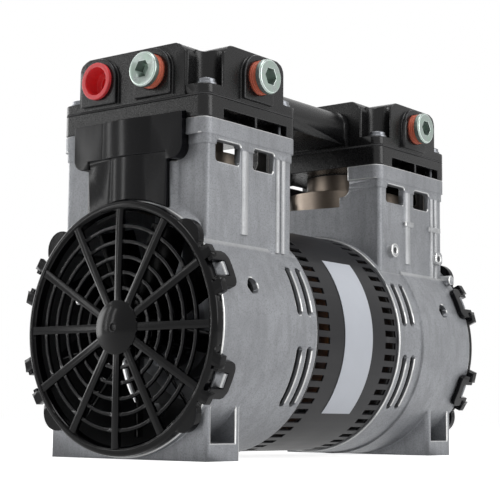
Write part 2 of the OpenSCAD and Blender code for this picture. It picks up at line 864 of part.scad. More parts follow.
// A stop above the outlet reed: a flat root under the rivet and a raised tongue
module reed_stop(side) {
    tongue = reed_l - stop_flat;
    rise = [cos(stop_tilt), sin(stop_tilt)];
    thick = stop_t * [-sin(stop_tilt), cos(stop_tilt)];
    bend = [stop_flat, 0];
    z = plate_top_z + reed_t + reed_slack;
    color("#a9adb2") difference() {
        translate([cyl_u - reed_root, side * reed_v + reed_w / 2, z]) rotate([90, 0, 0])
            linear_extrude(reed_w)
                polygon([[0, 0], bend, bend + tongue * rise, bend + tongue * rise + thick,
                    bend + stop_t * [-tan(stop_tilt / 2), 1], [0, stop_t]]);
        translate([cyl_u + rivet_s, side * reed_v, z - over])
            cylinder(h = stop_t + 2 * over, d = rivet_d, $fn = 32);
    }
}

// The open plan under the head: two rooms, one each side of the middle rib
module room_plan() {
    half_v = head_arm_v / 2 - head_wall;
    for (v = [-1, 1]) {
        a = v * chamber_rib / 2;
        b = v * half_v;
        c = v * (flange_w / 2 - head_wall);
        translate([-flange_l / 2 + head_wall, min(a, b)]) square([flange_l - 2 * head_wall, abs(b - a)]);
        translate([head_arm_u[0] + head_wall, min(a, c)])
            square([head_arm_u[1] - head_arm_u[0] - 2 * head_wall, abs(c - a)]);
    }
}

module head_gasket() {
    color("#1c1c1e") difference() {
        flange_block(plate_top_z, gasket_t);
        translate([cyl_u, 0, plate_top_z - over]) linear_extrude(gasket_t + 2 * over) room_plan();
        at_bolts() translate([0, 0, plate_top_z - over])
            cylinder(h = gasket_t + 2 * over, d = bolt_d + 2 * bolt_fit, $fn = 32);
    }
}

// A bar's end outline: flat below, with two rounded top corners
module round_top(w, h, r) {
    union() {
        translate([-w / 2, 0]) square([w, h - r]);
        translate([-w / 2 + r, 0]) square([w - 2 * r, h]);
        for (x = [-1, 1]) translate([x * (w / 2 - r), h - r]) circle(r = r, $fn = 48);
    }
}

module port_pad() {
    translate([-port_pad_w / 2, port_pad_low_z - port_z]) square([port_pad_w, port_z - port_pad_low_z]);
    circle(d = port_pad_w, $fn = 64);
}

// Children drawn looking at a port, with +Z out of it, at each port of a head
module at_end_port(i) {
    translate([flange_out_u + head_proud, end_port_v[i], port_z]) rotate([90, 0, 90]) children();
}
module at_side_port(side) {
    translate([cyl_u + side_port_s, side * flange_w / 2, port_z])
        rotate([90, 0, side > 0 ? 180 : 0]) children();
}
module at_ports() {
    for (i = [0, 1]) at_end_port(i) children();
    for (side = [-1, 1]) at_side_port(side) children();
}

module notch_edges() {
    arm_v = head_arm_v / 2;
    for (v = [-1, 1], s = [0, 1]) {
        end_u = s == 0 ? -flange_l / 2 + bead_r : flange_l / 2 - bead_r;
        translate([cyl_u + end_u, v * (arm_v - bead_r + bead_r / 2), head_z])
            cylinder(h = head_h - head_round_r + bead_drop, r = bead_r, $fn = 24);
        arm_u = head_arm_u[s] + (s == 0 ? bead_r / 2 : -bead_r / 2);
        translate([cyl_u + arm_u, v * (flange_w / 2 - bead_r), head_z])
            cylinder(h = head_h - head_round_r + bead_drop, r = bead_r, $fn = 24);
    }
}

module head() {
    arm_mid = (head_arm_u[0] + head_arm_u[1]) / 2;
    color(satin_black) difference() {
        union() {
            flange_block(head_z, head_base_t);
            translate([face_u, 0, head_z]) rotate([90, 0, 90])
                linear_extrude(flange_l + head_proud) round_top(head_arm_v, head_h, head_round_r);
            translate([cyl_u + arm_mid, flange_w / 2, head_z]) rotate([90, 0, 0])
                linear_extrude(flange_w) round_top(head_arm_u[1] - head_arm_u[0], head_h, head_round_r);
            // The corner fillers that the bolts' hollows are cut into
            box_between([cyl_u - post_u, -post_v, head_z], [cyl_u + post_u, post_v, head_top_z - bead_drop]);
            notch_edges();
            at_ports() translate([0, 0, -over]) linear_extrude(port_pad_out + over) port_pad();
        }
        at_bolts() translate([0, 0, head_seat_z]) cylinder(h = head_h, r = notch_r, $fn = 48);
        at_bolts() translate([0, 0, head_z - over])
            cylinder(h = head_h, d = bolt_d + 2 * bolt_fit, $fn = 32);
        translate([cyl_u, 0, head_z - over]) linear_extrude(head_h - head_wall + over) room_plan();
        at_ports() translate([0, 0, -head_wall - port_deep])
            cylinder(h = head_wall + port_deep + port_pad_out + over, d = port_d, $fn = 64);
        for (v = [-1, 1]) translate([0, v * manifold_v, manifold_port_z - shaft_z])
            rod_bar(face_u - over, head_wall + 2 * over, spout_d + 2 * spout_fit);
    }
}

module head_bolts() {
    color("#3a3c40") at_bolts() translate([0, 0, head_seat_z]) difference() {
        union() {
            cylinder(h = bolt_washer_t, d = bolt_washer_d, $fn = 48);
            cylinder(h = bolt_head_t - bolt_dome, d = bolt_head_d, $fn = 48);
            translate([0, 0, bolt_head_t - bolt_dome]) intersection() {
                cylinder(h = bolt_dome, d = bolt_head_d, $fn = 48);
                translate([0, 0, bolt_dome - dome_r(bolt_head_d, bolt_dome)])
                    sphere(r = dome_r(bolt_head_d, bolt_dome), $fn = 64);
            }
            translate([0, 0, -bolt_down]) cylinder(h = bolt_down, d = bolt_d, $fn = 32);
        }
        translate([0, 0, bolt_head_t - bolt_key_deep])
            cylinder(h = bolt_key_deep + over, d = hex_across(bolt_key), $fn = 6);
    }
}

// Radius of the ball whose cap has this diameter and height
function dome_r(d, h) = (d * d / 4 + h * h) / (2 * h);
function hex_across(flats) = flats / cos(30);

module manifold() {
    color(satin_black) difference() {
        union() {
            for (c = [[face_u - manifold_fit, 0],
                      [-face_u + manifold_fit + manifold_collar_l, manifold_collar_out],
                      [face_u - manifold_fit, manifold_collar_out]]) {
                start = c[1] == 0 ? -c[0] : c[0] - manifold_collar_l;
                translate([start, 0, manifold_z - c[1] / 2]) rotate([90, 0, 90])
                    linear_extrude(c[0] - start)
                        round_top(2 * duct_half_w + c[1], manifold_h + c[1], manifold_r);
            }
            for (v = [-1, 1]) translate([0, v * manifold_v, manifold_port_z - shaft_z])
                rod_bar(-face_u - spout_l, shell_l + 2 * spout_l, spout_d);
        }
        for (v = [-1, 1]) translate([0, v * manifold_v, manifold_port_z - shaft_z]) {
            rod_bar(-face_u - spout_l - over, shell_l + 2 * (spout_l + over), manifold_bore);
            for (end = [-1, 1])
                ring_bar(end * (face_u + spout_groove_w) - spout_groove_w / 2, spout_groove_w,
                    spout_d + 2 * over, spout_d - 2 * spout_groove_t);
        }
    }
}

module manifold_seals() {
    section = spout_groove_t + spout_fit;
    color("#101010") for (v = [-1, 1], end = [-1, 1])
        translate([0, v * manifold_v, manifold_port_z - shaft_z]) along(end * (face_u + spout_groove_w))
            rotate_extrude($fn = 64) translate([spout_d / 2 - spout_groove_t + section / 2, 0])
                circle(d = section, $fn = 24);
}

module plug_thread(l) {
    difference() {
        cylinder(h = l, d = port_d, $fn = 64);
        for (i = [0 : floor(l / thread_pitch) - 1]) translate([0, 0, (i + 1 / 2) * thread_pitch])
            rotate_extrude($fn = 64) translate([port_d / 2, 0])
                circle(r = thread_deep, $fn = 24);
    }
}

module plug() {
    top = port_pad_out + plug_out;
    low = top - plug_head_l;
    color("#c9ccd0") difference() {
        union() {
            translate([0, 0, low + plug_edge]) cylinder(h = plug_head_l - 2 * plug_edge, d = plug_d, $fn = 64);
            translate([0, 0, top - plug_edge])
                cylinder(h = plug_edge, d1 = plug_d, d2 = plug_d - 2 * plug_edge, $fn = 64);
            translate([0, 0, low]) cylinder(h = plug_edge, d1 = plug_d - plug_edge, d2 = plug_d, $fn = 64);
            translate([0, 0, -plug_in]) cylinder(h = plug_in + low, d = port_d - 2 * sealant_t, $fn = 64);
        }
        translate([0, 0, top - plug_key_deep])
            cylinder(h = plug_key_deep + over, d = hex_across(plug_key), $fn = 6);
    }
}

// The sealant fills and covers the plug's thread
module sealant_ring() {
    l = plug_out - plug_head_l + port_pad_out + head_wall;
    color("#b5452f") translate([0, 0, -head_wall]) difference() {
        plug_thread(l);
        translate([0, 0, -over]) cylinder(h = l + 2 * over, d = port_d - 2 * sealant_t, $fn = 64);
    }
}

module at_plugs() {
    near_end() {
        at_end_port(1) children();
        for (side = [-1, 1]) at_side_port(side) children();
    }
    at_end_port(1) children();
    for (side = [-1, 1]) at_side_port(side) children();
}

module port_cap() {
    color("#d22f34") near_end() at_end_port(0) translate([0, 0, port_pad_out]) difference() {
        union() {
            cylinder(h = cap_flange_t, d = cap_flange_d, $fn = 64);
            translate([0, 0, -cap_stem_l]) cylinder(h = cap_stem_l, d = port_d - 2 * cap_fit, $fn = 64);
        }
        translate([0, 0, -cap_stem_l + cap_floor_t + cap_step_l])
            cylinder(h = cap_stem_l + cap_flange_t, d = port_d - 2 * cap_fit - 2 * cap_wall, $fn = 64);
        translate([0, 0, -cap_stem_l + cap_floor_t]) cylinder(h = cap_step_l + over, d = cap_step_d, $fn = 64);
    }
}

// The rim's section: radius across, U up, rounded at its two front corners
module rim_section() {
    r_out = guard_d / 2;
    r_in = guard_open_d / 2;
    h = guard_face_u - body_end_u;
    difference() {
        union() {
            translate([r_in, 0]) square([r_out - r_in, h - guard_rim_r]);
            translate([r_in + guard_rim_r, 0]) square([r_out - r_in - 2 * guard_rim_r, h]);
            for (r = [r_in + guard_rim_r, r_out - guard_rim_r])
                translate([r, h - guard_rim_r]) circle(r = guard_rim_r, $fn = 32);
        }
        translate([r_in + guard_rim_r / 2, h - guard_rim_r / 4]) circle(r = rim_groove_r, $fn = 24);
    }
}

// A tube's wall, cut to an outline that is drawn looking at it: across the wall and along U
module wall_patch(angle, r_in, r_out, h) {
    rotate([0, 0, angle]) intersection() {
        difference() {
            cylinder(h = h, r = r_out, $fn = 96);
            translate([0, 0, -over]) cylinder(h = h + 2 * over, r = r_in, $fn = 96);
        }
        translate([r_in - loop_sag, 0, 0]) rotate([90, 0, 90])
            linear_extrude(loop_sag + r_out - r_in + over) children();
    }
}

module loop_outline() {
    difference() {
        translate([0, loop_l / 2 + loop_corner])
            round_rect(loop_w, loop_l + 2 * loop_corner, loop_corner);
        translate([-loop_open_w / 2, loop_bar]) square([loop_open_w, loop_l]);
    }
}

// The clip loops reach back over the housing's lugs from two shoulders on the rim
module guard_loops() {
    r_in = body_r + step_h + loop_gap;
    shoulder_l = guard_deep - shoulder_lift - shoulder_lead;
    for (side = [-1, 1], s = [-1, 1]) {
        angle = side_angle(side, s * loop_angle);
        along(guard_face_u - loop_lead - loop_l)
            wall_patch(angle, r_in, r_in + loop_t, loop_l) loop_outline();
        along(body_end_u + shoulder_lift)
            for (t = [-1, 1])
                wall_patch(angle, guard_d / 2 - guard_rim_r, r_in + loop_t + shoulder_out, shoulder_l)
                    translate([t * shoulder_at - shoulder_w / 2, -over])
                        square([shoulder_w, shoulder_l + 2 * over]);
    }
}

// The hub's section: a disc under a shallow dome
module hub_section() {
    ball_r = dome_r(2 * (hub_r - hub_edge), hub_out - hub_edge);
    square([hub_r, guard_grid_t + hub_edge]);
    intersection() {
        translate([0, guard_grid_t + hub_out - ball_r]) circle(r = ball_r, $fn = 128);
        square([hub_r - hub_edge, guard_grid_t + hub_out + over]);
    }
}

module guard() {
    grid_u = guard_face_u - guard_grid_t;
    r_open = guard_open_d / 2;
    ring_step = (ring_last_r - ring_first_r) / (ring_count - 1);
    color(gloss_black) difference() {
        union() {
            along(body_end_u) rotate_extrude($fn = 128) rim_section();
            for (i = [0 : spoke_count - 1])
                along(grid_u) rotate([0, 0, 360 * i / spoke_count])
                    translate([hub_r - over, -spoke_w / 2, 0])
                        cube([r_open - hub_r + 2 * over, spoke_w, guard_grid_t]);
            for (i = [0 : ring_count - 1]) {
                r = ring_first_r + i * ring_step;
                ring_bar(grid_u, guard_grid_t - ring_sink, 2 * r + ring_w, 2 * r - ring_w);
            }
            along(grid_u) rotate_extrude($fn = fine) hub_section();
            for (side = [-1, 1], s = [-1, 1])
                along(body_end_u) rotate([0, 0, side_angle(side, s * lobe_angle)]) translate([lobe_at, 0, 0])
                    difference() {
                        cylinder(h = guard_face_u - body_end_u - guard_rim_r / 2, r = lobe_r, $fn = 48);
                        translate([-lobe_at, 0, -over]) cylinder(h = guard_face_u, r = r_open + over, $fn = 96);
                    }
            guard_loops();
        }
        rod_bar(guard_face_u + hub_out - hub_dimple_r / 2, hub_dimple_r, 2 * hub_dimple_r);
    }
}

// Front outlines of the duct's wide top and its narrower lower run, V across and Z up
module duct_outline(inset) {
    top_h = duct_top_z - duct_ear_z;
    difference() {
        union() {
            translate([0, duct_ear_z + top_h])
                round_rect(duct_top_w - 2 * inset, 2 * (top_h - inset), duct_corner_r - inset);
            translate([-duct_low_w / 2 + inset, duct_low_z])
                square([duct_low_w - 2 * inset, duct_top_z - duct_low_z]);
        }
        translate([-duct_top_w, duct_top_z - inset]) square([2 * duct_top_w, 2 * top_h]);
    }
}

module bulge(face_u_at, width, out, low, high) {
    r = dome_r(width, out);
    translate([face_u_at + out - r, 0, low]) cylinder(h = high - low, r = r, $fn = 192);
}

module duct_body(inset) {
    back = tower_out_u - (inset > 0 ? over : 0);
    face = duct_face_u - inset;
    low_bulge_w = duct_bulge_w * duct_low_share;
    difference() {
        union() {
            translate([back, 0, 0]) rotate([90, 0, 90])
                linear_extrude(face - duct_step - back) duct_outline(inset);
            intersection() {
                translate([back, 0, 0]) rotate([90, 0, 90]) linear_extrude(face - back) duct_outline(inset);
                box_between([back, -duct_top_w, duct_mid_z + inset], [face + over, duct_top_w, duct_top_z]);
            }
            for (v = [-1, 1]) intersection() {
                translate([back, 0, 0]) rotate([90, 0, 90]) linear_extrude(face - back) duct_outline(inset);
                box_between([back, v > 0 ? duct_low_w / 2 - inset : -duct_top_w, duct_ear_z],
                    [face + over, v > 0 ? duct_top_w : -duct_low_w / 2 + inset, duct_top_z]);
            }
            intersection() {
                box_between([back, -duct_bulge_w / 2, duct_mid_z + inset],
                    [face + duct_bulge, duct_bulge_w / 2, duct_top_z]);
                bulge(face, duct_bulge_w, duct_bulge, duct_mid_z + inset, duct_top_z);
            }
            intersection() {
                box_between([back, -low_bulge_w / 2, duct_low_z],
                    [face + duct_bulge, low_bulge_w / 2, duct_mid_z + inset]);
                bulge(face - duct_step, low_bulge_w, duct_bulge * duct_low_share,
                    duct_low_z, duct_mid_z + inset);
            }
        }
        rod_bar(face_u, body_l + body_end_u, 2 * (body_r + step_h + (inset > 0 ? 0 : duct_gap)));
    }
}

module duct() {
    color(gloss_black) difference() {
        duct_body(0);
        duct_body(duct_wall);
    }
}

module name_plate() {
    color("#d3d9df") along(-label_l / 2) rotate([0, 0, 270 - label_half])
        rotate_extrude(angle = 2 * label_half, $fn = 192)
            translate([shell_r + label_gap, 0]) square([label_t, label_l]);
}

module race_groove(u, r, ball_r) {
    along(u) rotate_extrude($fn = 64) translate([r, 0]) circle(r = ball_r + ball_fit, $fn = 32);
}

// A ball bearing's three sorts of part, placed on a shaft axis by the caller
module outer_race(u, w, d_out, d_in, ring_t) {
    r = bearing_mid_r(d_out, d_in);
    difference() {
        ring_bar(u, w, d_out, d_out - 2 * ring_t);
        race_groove(u + w / 2, r, bearing_ball_r(d_out, d_in, ring_t));
    }
}
module inner_race(u, w, d_out, d_in, ring_t) {
    difference() {
        ring_bar(u, w, d_in + 2 * ring_t, d_in);
        race_groove(u + w / 2, bearing_mid_r(d_out, d_in), bearing_ball_r(d_out, d_in, ring_t));
    }
}
module race_balls(u, w, d_out, d_in, ring_t, count) {
    for (i = [0 : count - 1]) along(u + w / 2) rotate([0, 0, 360 * i / count])
        translate([bearing_mid_r(d_out, d_in), 0, 0]) sphere(r = bearing_ball_r(d_out, d_in, ring_t), $fn = 32);
}
function bearing_mid_r(d_out, d_in) = (d_out + d_in) / 4;
function bearing_ball_r(d_out, d_in, ring_t) = (d_out - d_in) / 4 - ring_t + ring_groove - ball_fit;

module shaft() {
    color("#a4a7ab") {
        rod_bar(-bearing_u, 2 * bearing_u, shaft_mid_d);
        rod_bar(-bearing_u - bearing_w, 2 * (bearing_u + bearing_w), bearing_bore);
        rod_bar(-shaft_tip_u, 2 * shaft_tip_u, shaft_end_d);
    }
}

module rotor_core() {
    d = stator_bore - 2 * rotor_gap;
    color("#7b7d80") {
        difference() {
            rod_bar(-stator_l / 2, stator_l, d);
            rod_bar(-stator_l / 2 - over, stator_l + 2 * over, shaft_mid_d);
        }
        for (end = [-1, 1]) {
            u = end > 0 ? stator_l / 2 : -stator_l / 2 - rotor_ring_l;
            ring_bar(u, rotor_ring_l, d, d - 2 * rotor_ring_t);
            for (i = [0 : rotor_fin_count - 1])
                along(end > 0 ? u + rotor_ring_l : u - rotor_fin_l) rotate([0, 0, 360 * i / rotor_fin_count])
                    translate([d / 2 - rotor_ring_t + rotor_gap, -rotor_gap * 2, -rotor_fin_sink])
                        cube([rotor_ring_t - 2 * rotor_gap, rotor_gap * 4, rotor_fin_l + 2 * rotor_fin_sink]);
        }
    }
}

// Top is 1 where the crank pin stands above the shaft at rest and -1 where it hangs below
module eccentric(top) {
    rod_in_u = cyl_u - rod_bearing_w / 2;
    color("#808388") difference() {
        union() {
            translate([0, 0, top * throw]) {
                rod_bar(rod_in_u, rod_bearing_w, rod_bearing_bore);
                rod_bar(rod_in_u - ecc_shoulder_t, ecc_shoulder_t, ecc_shoulder_d);
            }
            rod_bar(ecc_in_u, rod_in_u - ecc_shoulder_t - ecc_in_u, ecc_hub_d);
            intersection() {
                rod_bar(ecc_in_u, counter_t, 2 * counter_r);
                translate([ecc_in_u, -counter_r, shaft_z + (top > 0 ? -counter_r : 0)])
                    cube([counter_t, 2 * counter_r, counter_r]);
            }
        }
        rod_bar(ecc_in_u - over, body_l, shaft_end_d);
        radial_hole(ecc_in_u + counter_t / 2, 90, set_screw_d, shaft_end_d / 2 - over, counter_r + over);
    }
}

module screw_pair() {
    length = ecc_hub_d / 2 - shaft_end_d / 2;
    for (u = [ecc_in_u + counter_t / 2, fan_u + fan_w / 2])
        along(u) rotate([0, 0, 90]) translate([shaft_end_d / 2, 0, 0]) rotate([0, 90, 0]) difference() {
            cylinder(h = length - set_screw_sink, d = set_screw_d, $fn = 32);
            translate([0, 0, length - set_screw_sink - set_screw_d / 2])
                cylinder(h = set_screw_d, d = hex_across(set_screw_d / 2), $fn = 6);
        }
}

// A blade's section leans over along U, and is drawn flat and raised out of the hub
module blade_shape(i) {
    lean = fan_w * tan(blade_tilt) / 2;
    half = blade_t / cos(blade_tilt) / 2;
    along(fan_u) rotate([0, 0, 360 * i / blade_count]) translate([fan_hub_d / 2 - over, 0, 0])
        rotate([90, 0, 90]) linear_extrude(fan_d / 2 - fan_hub_d / 2 + over)
            polygon([[-lean - half, blade_edge], [-lean + half, blade_edge],
                [lean + half, fan_w - blade_edge], [lean - half, fan_w - blade_edge]]);
}

module fan() {
    color("#1f2022") difference() {
        union() {
            rod_bar(fan_u, fan_w, fan_hub_d);
            for (i = [0 : blade_count - 1]) blade_shape(i);
        }
        rod_bar(fan_u - over, fan_w + 2 * over, shaft_end_d);
        radial_hole(fan_u + fan_w / 2, 90, set_screw_d, shaft_end_d / 2 - over, fan_hub_d / 2 + over);
    }
}

// Everything on a rod is drawn at mid stroke and lifted or lowered by the throw
piston_top_z = deck_z - top_clear - retainer_t - cup_t - throw;
piston_d = bore_d - 2 * (throw + piston_gap);

module rod() {
    low = shaft_z + rod_bearing_d / 2 + rod_wall / 2;
    high = piston_top_z - piston_t;
    color("#9b9fa3") difference() {
        union() {
            rod_bar(cyl_u - rod_bearing_w / 2, rod_bearing_w, rod_bearing_d + 2 * rod_wall);
            box_between([cyl_u - rod_neck_t / 2, -rod_neck_w / 2, low],
                [cyl_u + rod_neck_t / 2, rod_neck_w / 2, high + over]);
            translate([cyl_u, 0, high]) cylinder(h = piston_t, d = piston_d, $fn = 96);
        }
        rod_bar(cyl_u - body_l / 2, body_l, rod_bearing_d);
        for (side = [-1, 1])
            translate([cyl_u + side * (rod_neck_t / 2), 0, (low + high + rod_wall) / 2])
                cube([neck_pocket, neck_lighten_w, high - low - 2 * rod_wall], center = true);
        translate([cyl_u, 0, piston_top_z - screw_l]) cylinder(h = screw_l + over, d = screw_d, $fn = 32);
    }
}

module piston_cup() {
    lip_r = bore_d / 2 - cup_fit;
    color("#3b3027") translate([cyl_u, 0, piston_top_z]) difference() {
        cylinder(h = cup_t + cup_lip_h, r = lip_r, $fn = 96);
        translate([0, 0, cup_t]) cylinder(h = cup_lip_h + over, r = lip_r - cup_lip_t, $fn = 96);
        translate([0, 0, -over]) cylinder(h = cup_t + 2 * over, d = screw_d, $fn = 32);
    }
}

module cup_retainer() {
    color("#a4a7ab") translate([cyl_u, 0, piston_top_z + cup_t]) difference() {
        cylinder(h = retainer_t, d = retainer_d, $fn = 96);
        translate([0, 0, -over]) cylinder(h = retainer_t + 2 * over, d = screw_d, $fn = 32);
        translate([0, 0, retainer_t - screw_head_t])
            cylinder(h = screw_head_t + over, d = screw_head_d, $fn = 48);
    }
}

module retainer_screw() {
    color("#b7bac0") translate([cyl_u, 0, piston_top_z + cup_t + retainer_t - screw_head_t]) difference() {
        union() {
            cylinder(h = screw_head_t, d = screw_head_d, $fn = 48);
            translate([0, 0, -screw_l]) cylinder(h = screw_l + over, d = screw_d, $fn = 32);
        }
        translate([0, 0, screw_head_t / 2]) cylinder(h = screw_head_t, d = hex_across(screw_d * 2 / 3), $fn = 6);
    }
}

module lifted(top) { translate([0, 0, top * throw]) children(); }

module housing_near() { near_end() housing(); }
module housing_far() { housing(); }
module winding_near() { near_end() winding(); }
module winding_far() { winding(); }
module cylinder_near() { near_end() cylinder_sleeve(); }
module cylinder_far() { cylinder_sleeve(); }
module cylinder_seals() { cylinder_seal(); near_end() cylinder_seal(); }
module valve_plate_near() { near_end() valve_plate(); }
module valve_plate_far() { valve_plate(); }
module head_gaskets() { head_gasket(); near_end() head_gasket(); }
module head_near() { near_end() head(); }
module head_far() { head(); }
module head_bolts_near() { near_end() head_bolts(); }
module head_bolts_far() { head_bolts(); }
module port_plugs() { at_plugs() plug(); }
module plug_sealant() { at_plugs() sealant_ring(); }
module guard_near() { near_end() guard(); }
module guard_far() { guard(); }
module duct_near() { near_end() duct(); }
module duct_far() { duct(); }
module both_bearings() { children(); near_end() children(); }
module bearing_outer_rings() {
    color("#8b8d91") both_bearings() outer_race(bearing_u, bearing_w, bearing_d, bearing_bore, bearing_ring_t);
}
module bearing_inner_rings() {
    color("#8b8d91") both_bearings() inner_race(bearing_u, bearing_w, bearing_d, bearing_bore, bearing_ring_t);
}
module bearing_balls() {
    color("#c4c6c9") both_bearings()
        race_balls(bearing_u, bearing_w, bearing_d, bearing_bore, bearing_ring_t, ball_count);
}
module rod_race() {
    lifted(1) near_end() children();
    lifted(-1) children();
}
rod_race_u = cyl_u - rod_bearing_w / 2;
module rod_bearing_outer() {
    color("#8b8d91") outer_race(rod_race_u, rod_bearing_w, rod_bearing_d, rod_bearing_bore, rod_ring_t);
}
module rod_bearing_inner_rings() {
    color("#8b8d91") rod_race()
        inner_race(rod_race_u, rod_bearing_w, rod_bearing_d, rod_bearing_bore, rod_ring_t);
}
module rod_bearing_balls() {
    color("#c4c6c9") rod_race()
        race_balls(rod_race_u, rod_bearing_w, rod_bearing_d, rod_bearing_bore, rod_ring_t, rod_ball_count);
}
module rod_bearing_outer_near() { lifted(1) near_end() rod_bearing_outer(); }
module rod_bearing_outer_far() { lifted(-1) rod_bearing_outer(); }
module intake_reed_near() { near_end() reed(-1, -1); }
module intake_reed_far() { reed(1, -1); }
module exhaust_reed_near() { near_end() reed(1, 1); }
module exhaust_reed_far() { reed(-1, 1); }
module reed_rivets() { rivets(1); near_end() rivets(-1); }
module reed_stops() { reed_stop(-1); near_end() reed_stop(1); }
module eccentric_near() { near_end() eccentric(1); }
module eccentric_far() { eccentric(-1); }
module set_screws() { screw_pair(); near_end() screw_pair(); }
module fan_near() { near_end() fan(); }
module fan_far() { fan(); }
module rod_near() { lifted(1) near_end() rod(); }
module rod_far() { lifted(-1) rod(); }
module piston_cup_near() { lifted(1) near_end() piston_cup(); }
module piston_cup_far() { lifted(-1) piston_cup(); }
module cup_retainer_near() { lifted(1) near_end() cup_retainer(); }
module cup_retainer_far() { lifted(-1) cup_retainer(); }
module retainer_screw_near() { lifted(1) near_end() retainer_screw(); }
module retainer_screw_far() { lifted(-1) retainer_screw(); }

housing_near();
housing_far();
motor_shell();
stator_core();
winding_near();
winding_far();
slot_windings();
tie_bolts();
cylinder_near();
cylinder_far();
cylinder_seals();
valve_plate_near();
valve_plate_far();
head_gaskets();
head_near();
head_far();
head_bolts_near();
head_bolts_far();
manifold();
manifold_seals();
port_plugs();
plug_sealant();
port_cap();
guard_near();
guard_far();
duct_near();
duct_far();
name_plate();
bearing_outer_rings();
intake_reed_near();
intake_reed_far();
exhaust_reed_near();
exhaust_reed_far();
reed_rivets();
reed_stops();
shaft();
rotor_core();
bearing_inner_rings();
bearing_balls();
eccentric_near();
eccentric_far();
set_screws();
rod_bearing_inner_rings();
rod_bearing_balls();
fan_near();
fan_far();
rod_near();
rod_far();
rod_bearing_outer_near();
rod_bearing_outer_far();
piston_cup_near();
piston_cup_far();
cup_retainer_near();
cup_retainer_far();
retainer_screw_near();
retainer_screw_far();
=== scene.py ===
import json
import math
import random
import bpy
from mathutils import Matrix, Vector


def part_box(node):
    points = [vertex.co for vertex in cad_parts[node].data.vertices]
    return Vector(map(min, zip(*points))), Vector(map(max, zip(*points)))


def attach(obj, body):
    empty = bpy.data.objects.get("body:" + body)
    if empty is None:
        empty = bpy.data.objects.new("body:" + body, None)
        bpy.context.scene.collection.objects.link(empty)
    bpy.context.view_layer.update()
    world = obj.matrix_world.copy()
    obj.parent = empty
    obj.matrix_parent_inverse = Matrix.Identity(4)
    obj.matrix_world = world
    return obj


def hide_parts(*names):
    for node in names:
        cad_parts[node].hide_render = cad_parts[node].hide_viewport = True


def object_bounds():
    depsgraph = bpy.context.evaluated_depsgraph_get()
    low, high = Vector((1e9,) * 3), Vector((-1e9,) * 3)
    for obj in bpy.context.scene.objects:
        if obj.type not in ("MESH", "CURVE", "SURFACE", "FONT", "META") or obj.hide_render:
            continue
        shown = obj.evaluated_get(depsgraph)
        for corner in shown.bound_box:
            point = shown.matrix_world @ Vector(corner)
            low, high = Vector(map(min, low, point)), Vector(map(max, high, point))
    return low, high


bl_info = {
    "name": "Rocking piston air compressor",
    "version": (1, 0, 0),
    "blender": (4, 5, 0),
    "location": "View3D > Sidebar > Compressor",
    "description": "Dresses the packed compressor with rounded castings, wound coils and finishes",
    "category": "Object",
}

import bmesh
import bpy
from mathutils import Color, Matrix, Vector
from mathutils.bvhtree import BVHTree
from mathutils.kdtree import KDTree

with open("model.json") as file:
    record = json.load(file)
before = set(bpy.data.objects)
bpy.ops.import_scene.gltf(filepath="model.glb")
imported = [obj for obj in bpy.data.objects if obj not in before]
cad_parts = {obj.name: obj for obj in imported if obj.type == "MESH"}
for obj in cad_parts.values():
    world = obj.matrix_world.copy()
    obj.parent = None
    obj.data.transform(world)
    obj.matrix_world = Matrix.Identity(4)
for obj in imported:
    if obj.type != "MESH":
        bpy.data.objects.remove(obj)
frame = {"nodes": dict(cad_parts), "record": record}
CAD_LOW, CAD_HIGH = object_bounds()

MM = 0.001
EVEN = (1, 1, 1)
WHITE_LEVEL = 255
SHAFT_AXIS = sum(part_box("shaft"), Vector()) / 2
NODE_BODY = {node: body for body, nodes in frame["record"]["behaviour"]["bodies"].items() for node in nodes}
NODE_SLOT = {part["node"]: part["material_slot"] for part in frame["record"]["subparts"]}


def from_screen(red, green, blue):
    """A colour seen on screen, 0 to 255, as the linear colour that a shader takes."""
    seen = Color([level / WHITE_LEVEL for level in (red, green, blue)])
    return tuple(seen.from_srgb_to_scene_linear())


def colour_prop(name, description, seen):
    """A colour that a user may change, given as it looks on screen."""
    return bpy.props.FloatVectorProperty(
        name=name,
        description=description,
        subtype="COLOR",
        size=3,
        min=0,
        max=1,
        default=from_screen(*seen),
    )


def length_prop(name, description, length):
    """A length that a user may change, in metres."""
    return bpy.props.FloatProperty(name=name, description=description, unit="LENGTH", min=0, default=length)


def angle_prop(name, description, degrees):
    """An angle that a user may change."""
    turn = math.radians(degrees)
    return bpy.props.FloatProperty(name=name, description=description, subtype="ANGLE", default=turn)


class CompressorColours(bpy.types.PropertyGroup):
    casting: colour_prop("Casting", "Die-cast aluminium of the housings", (146, 148, 152))
    head: colour_prop("Head", "Satin black of the heads, valve plates and manifold", (14, 14, 15))
    guard: colour_prop("Guard", "Moulded black of the guards and fans", (7, 7, 9))
    duct: colour_prop("Duct", "Glossy black of the ducts", (6, 6, 9))
    shell: colour_prop("Shell", "Dark grey paint of the motor shell", (36, 36, 38))
    label: colour_prop("Label", "Film of the bare label", (190, 194, 202))
    cap: colour_prop("Cap", "Red shipping cap", (242, 66, 72))
    plug: colour_prop("Plug", "Bright zinc of the port plugs", (172, 182, 178))
    sealant: colour_prop("Sealant", "Dried sealant on the plugs' threads", (204, 106, 80))
    copper: colour_prop("Copper", "Varnished wire of the windings", (232, 140, 76))
    sleeve: colour_prop("Sleeve", "Hard anodised cylinder sleeves", (134, 123, 112))


class CompressorSizes(bpy.types.PropertyGroup):
    casting_edge: length_prop("Casting edge", "Radius of the castings' soft edges", 0.75 * MM)
    head_edge: length_prop("Head edge", "Radius of the heads' soft edges", 0.7 * MM)
    plastic_edge: length_prop("Plastic edge", "Radius of the moulded parts' edges", 0.45 * MM)
    small_edge: length_prop("Small edge", "Radius of the edges of turned and pressed parts", 0.25 * MM)
    wire: length_prop("Wire", "Diameter of the winding wire that shows", 1.8 * MM)
    lace: length_prop("Lace", "Diameter of the cord that laces the windings", 0.9 * MM)


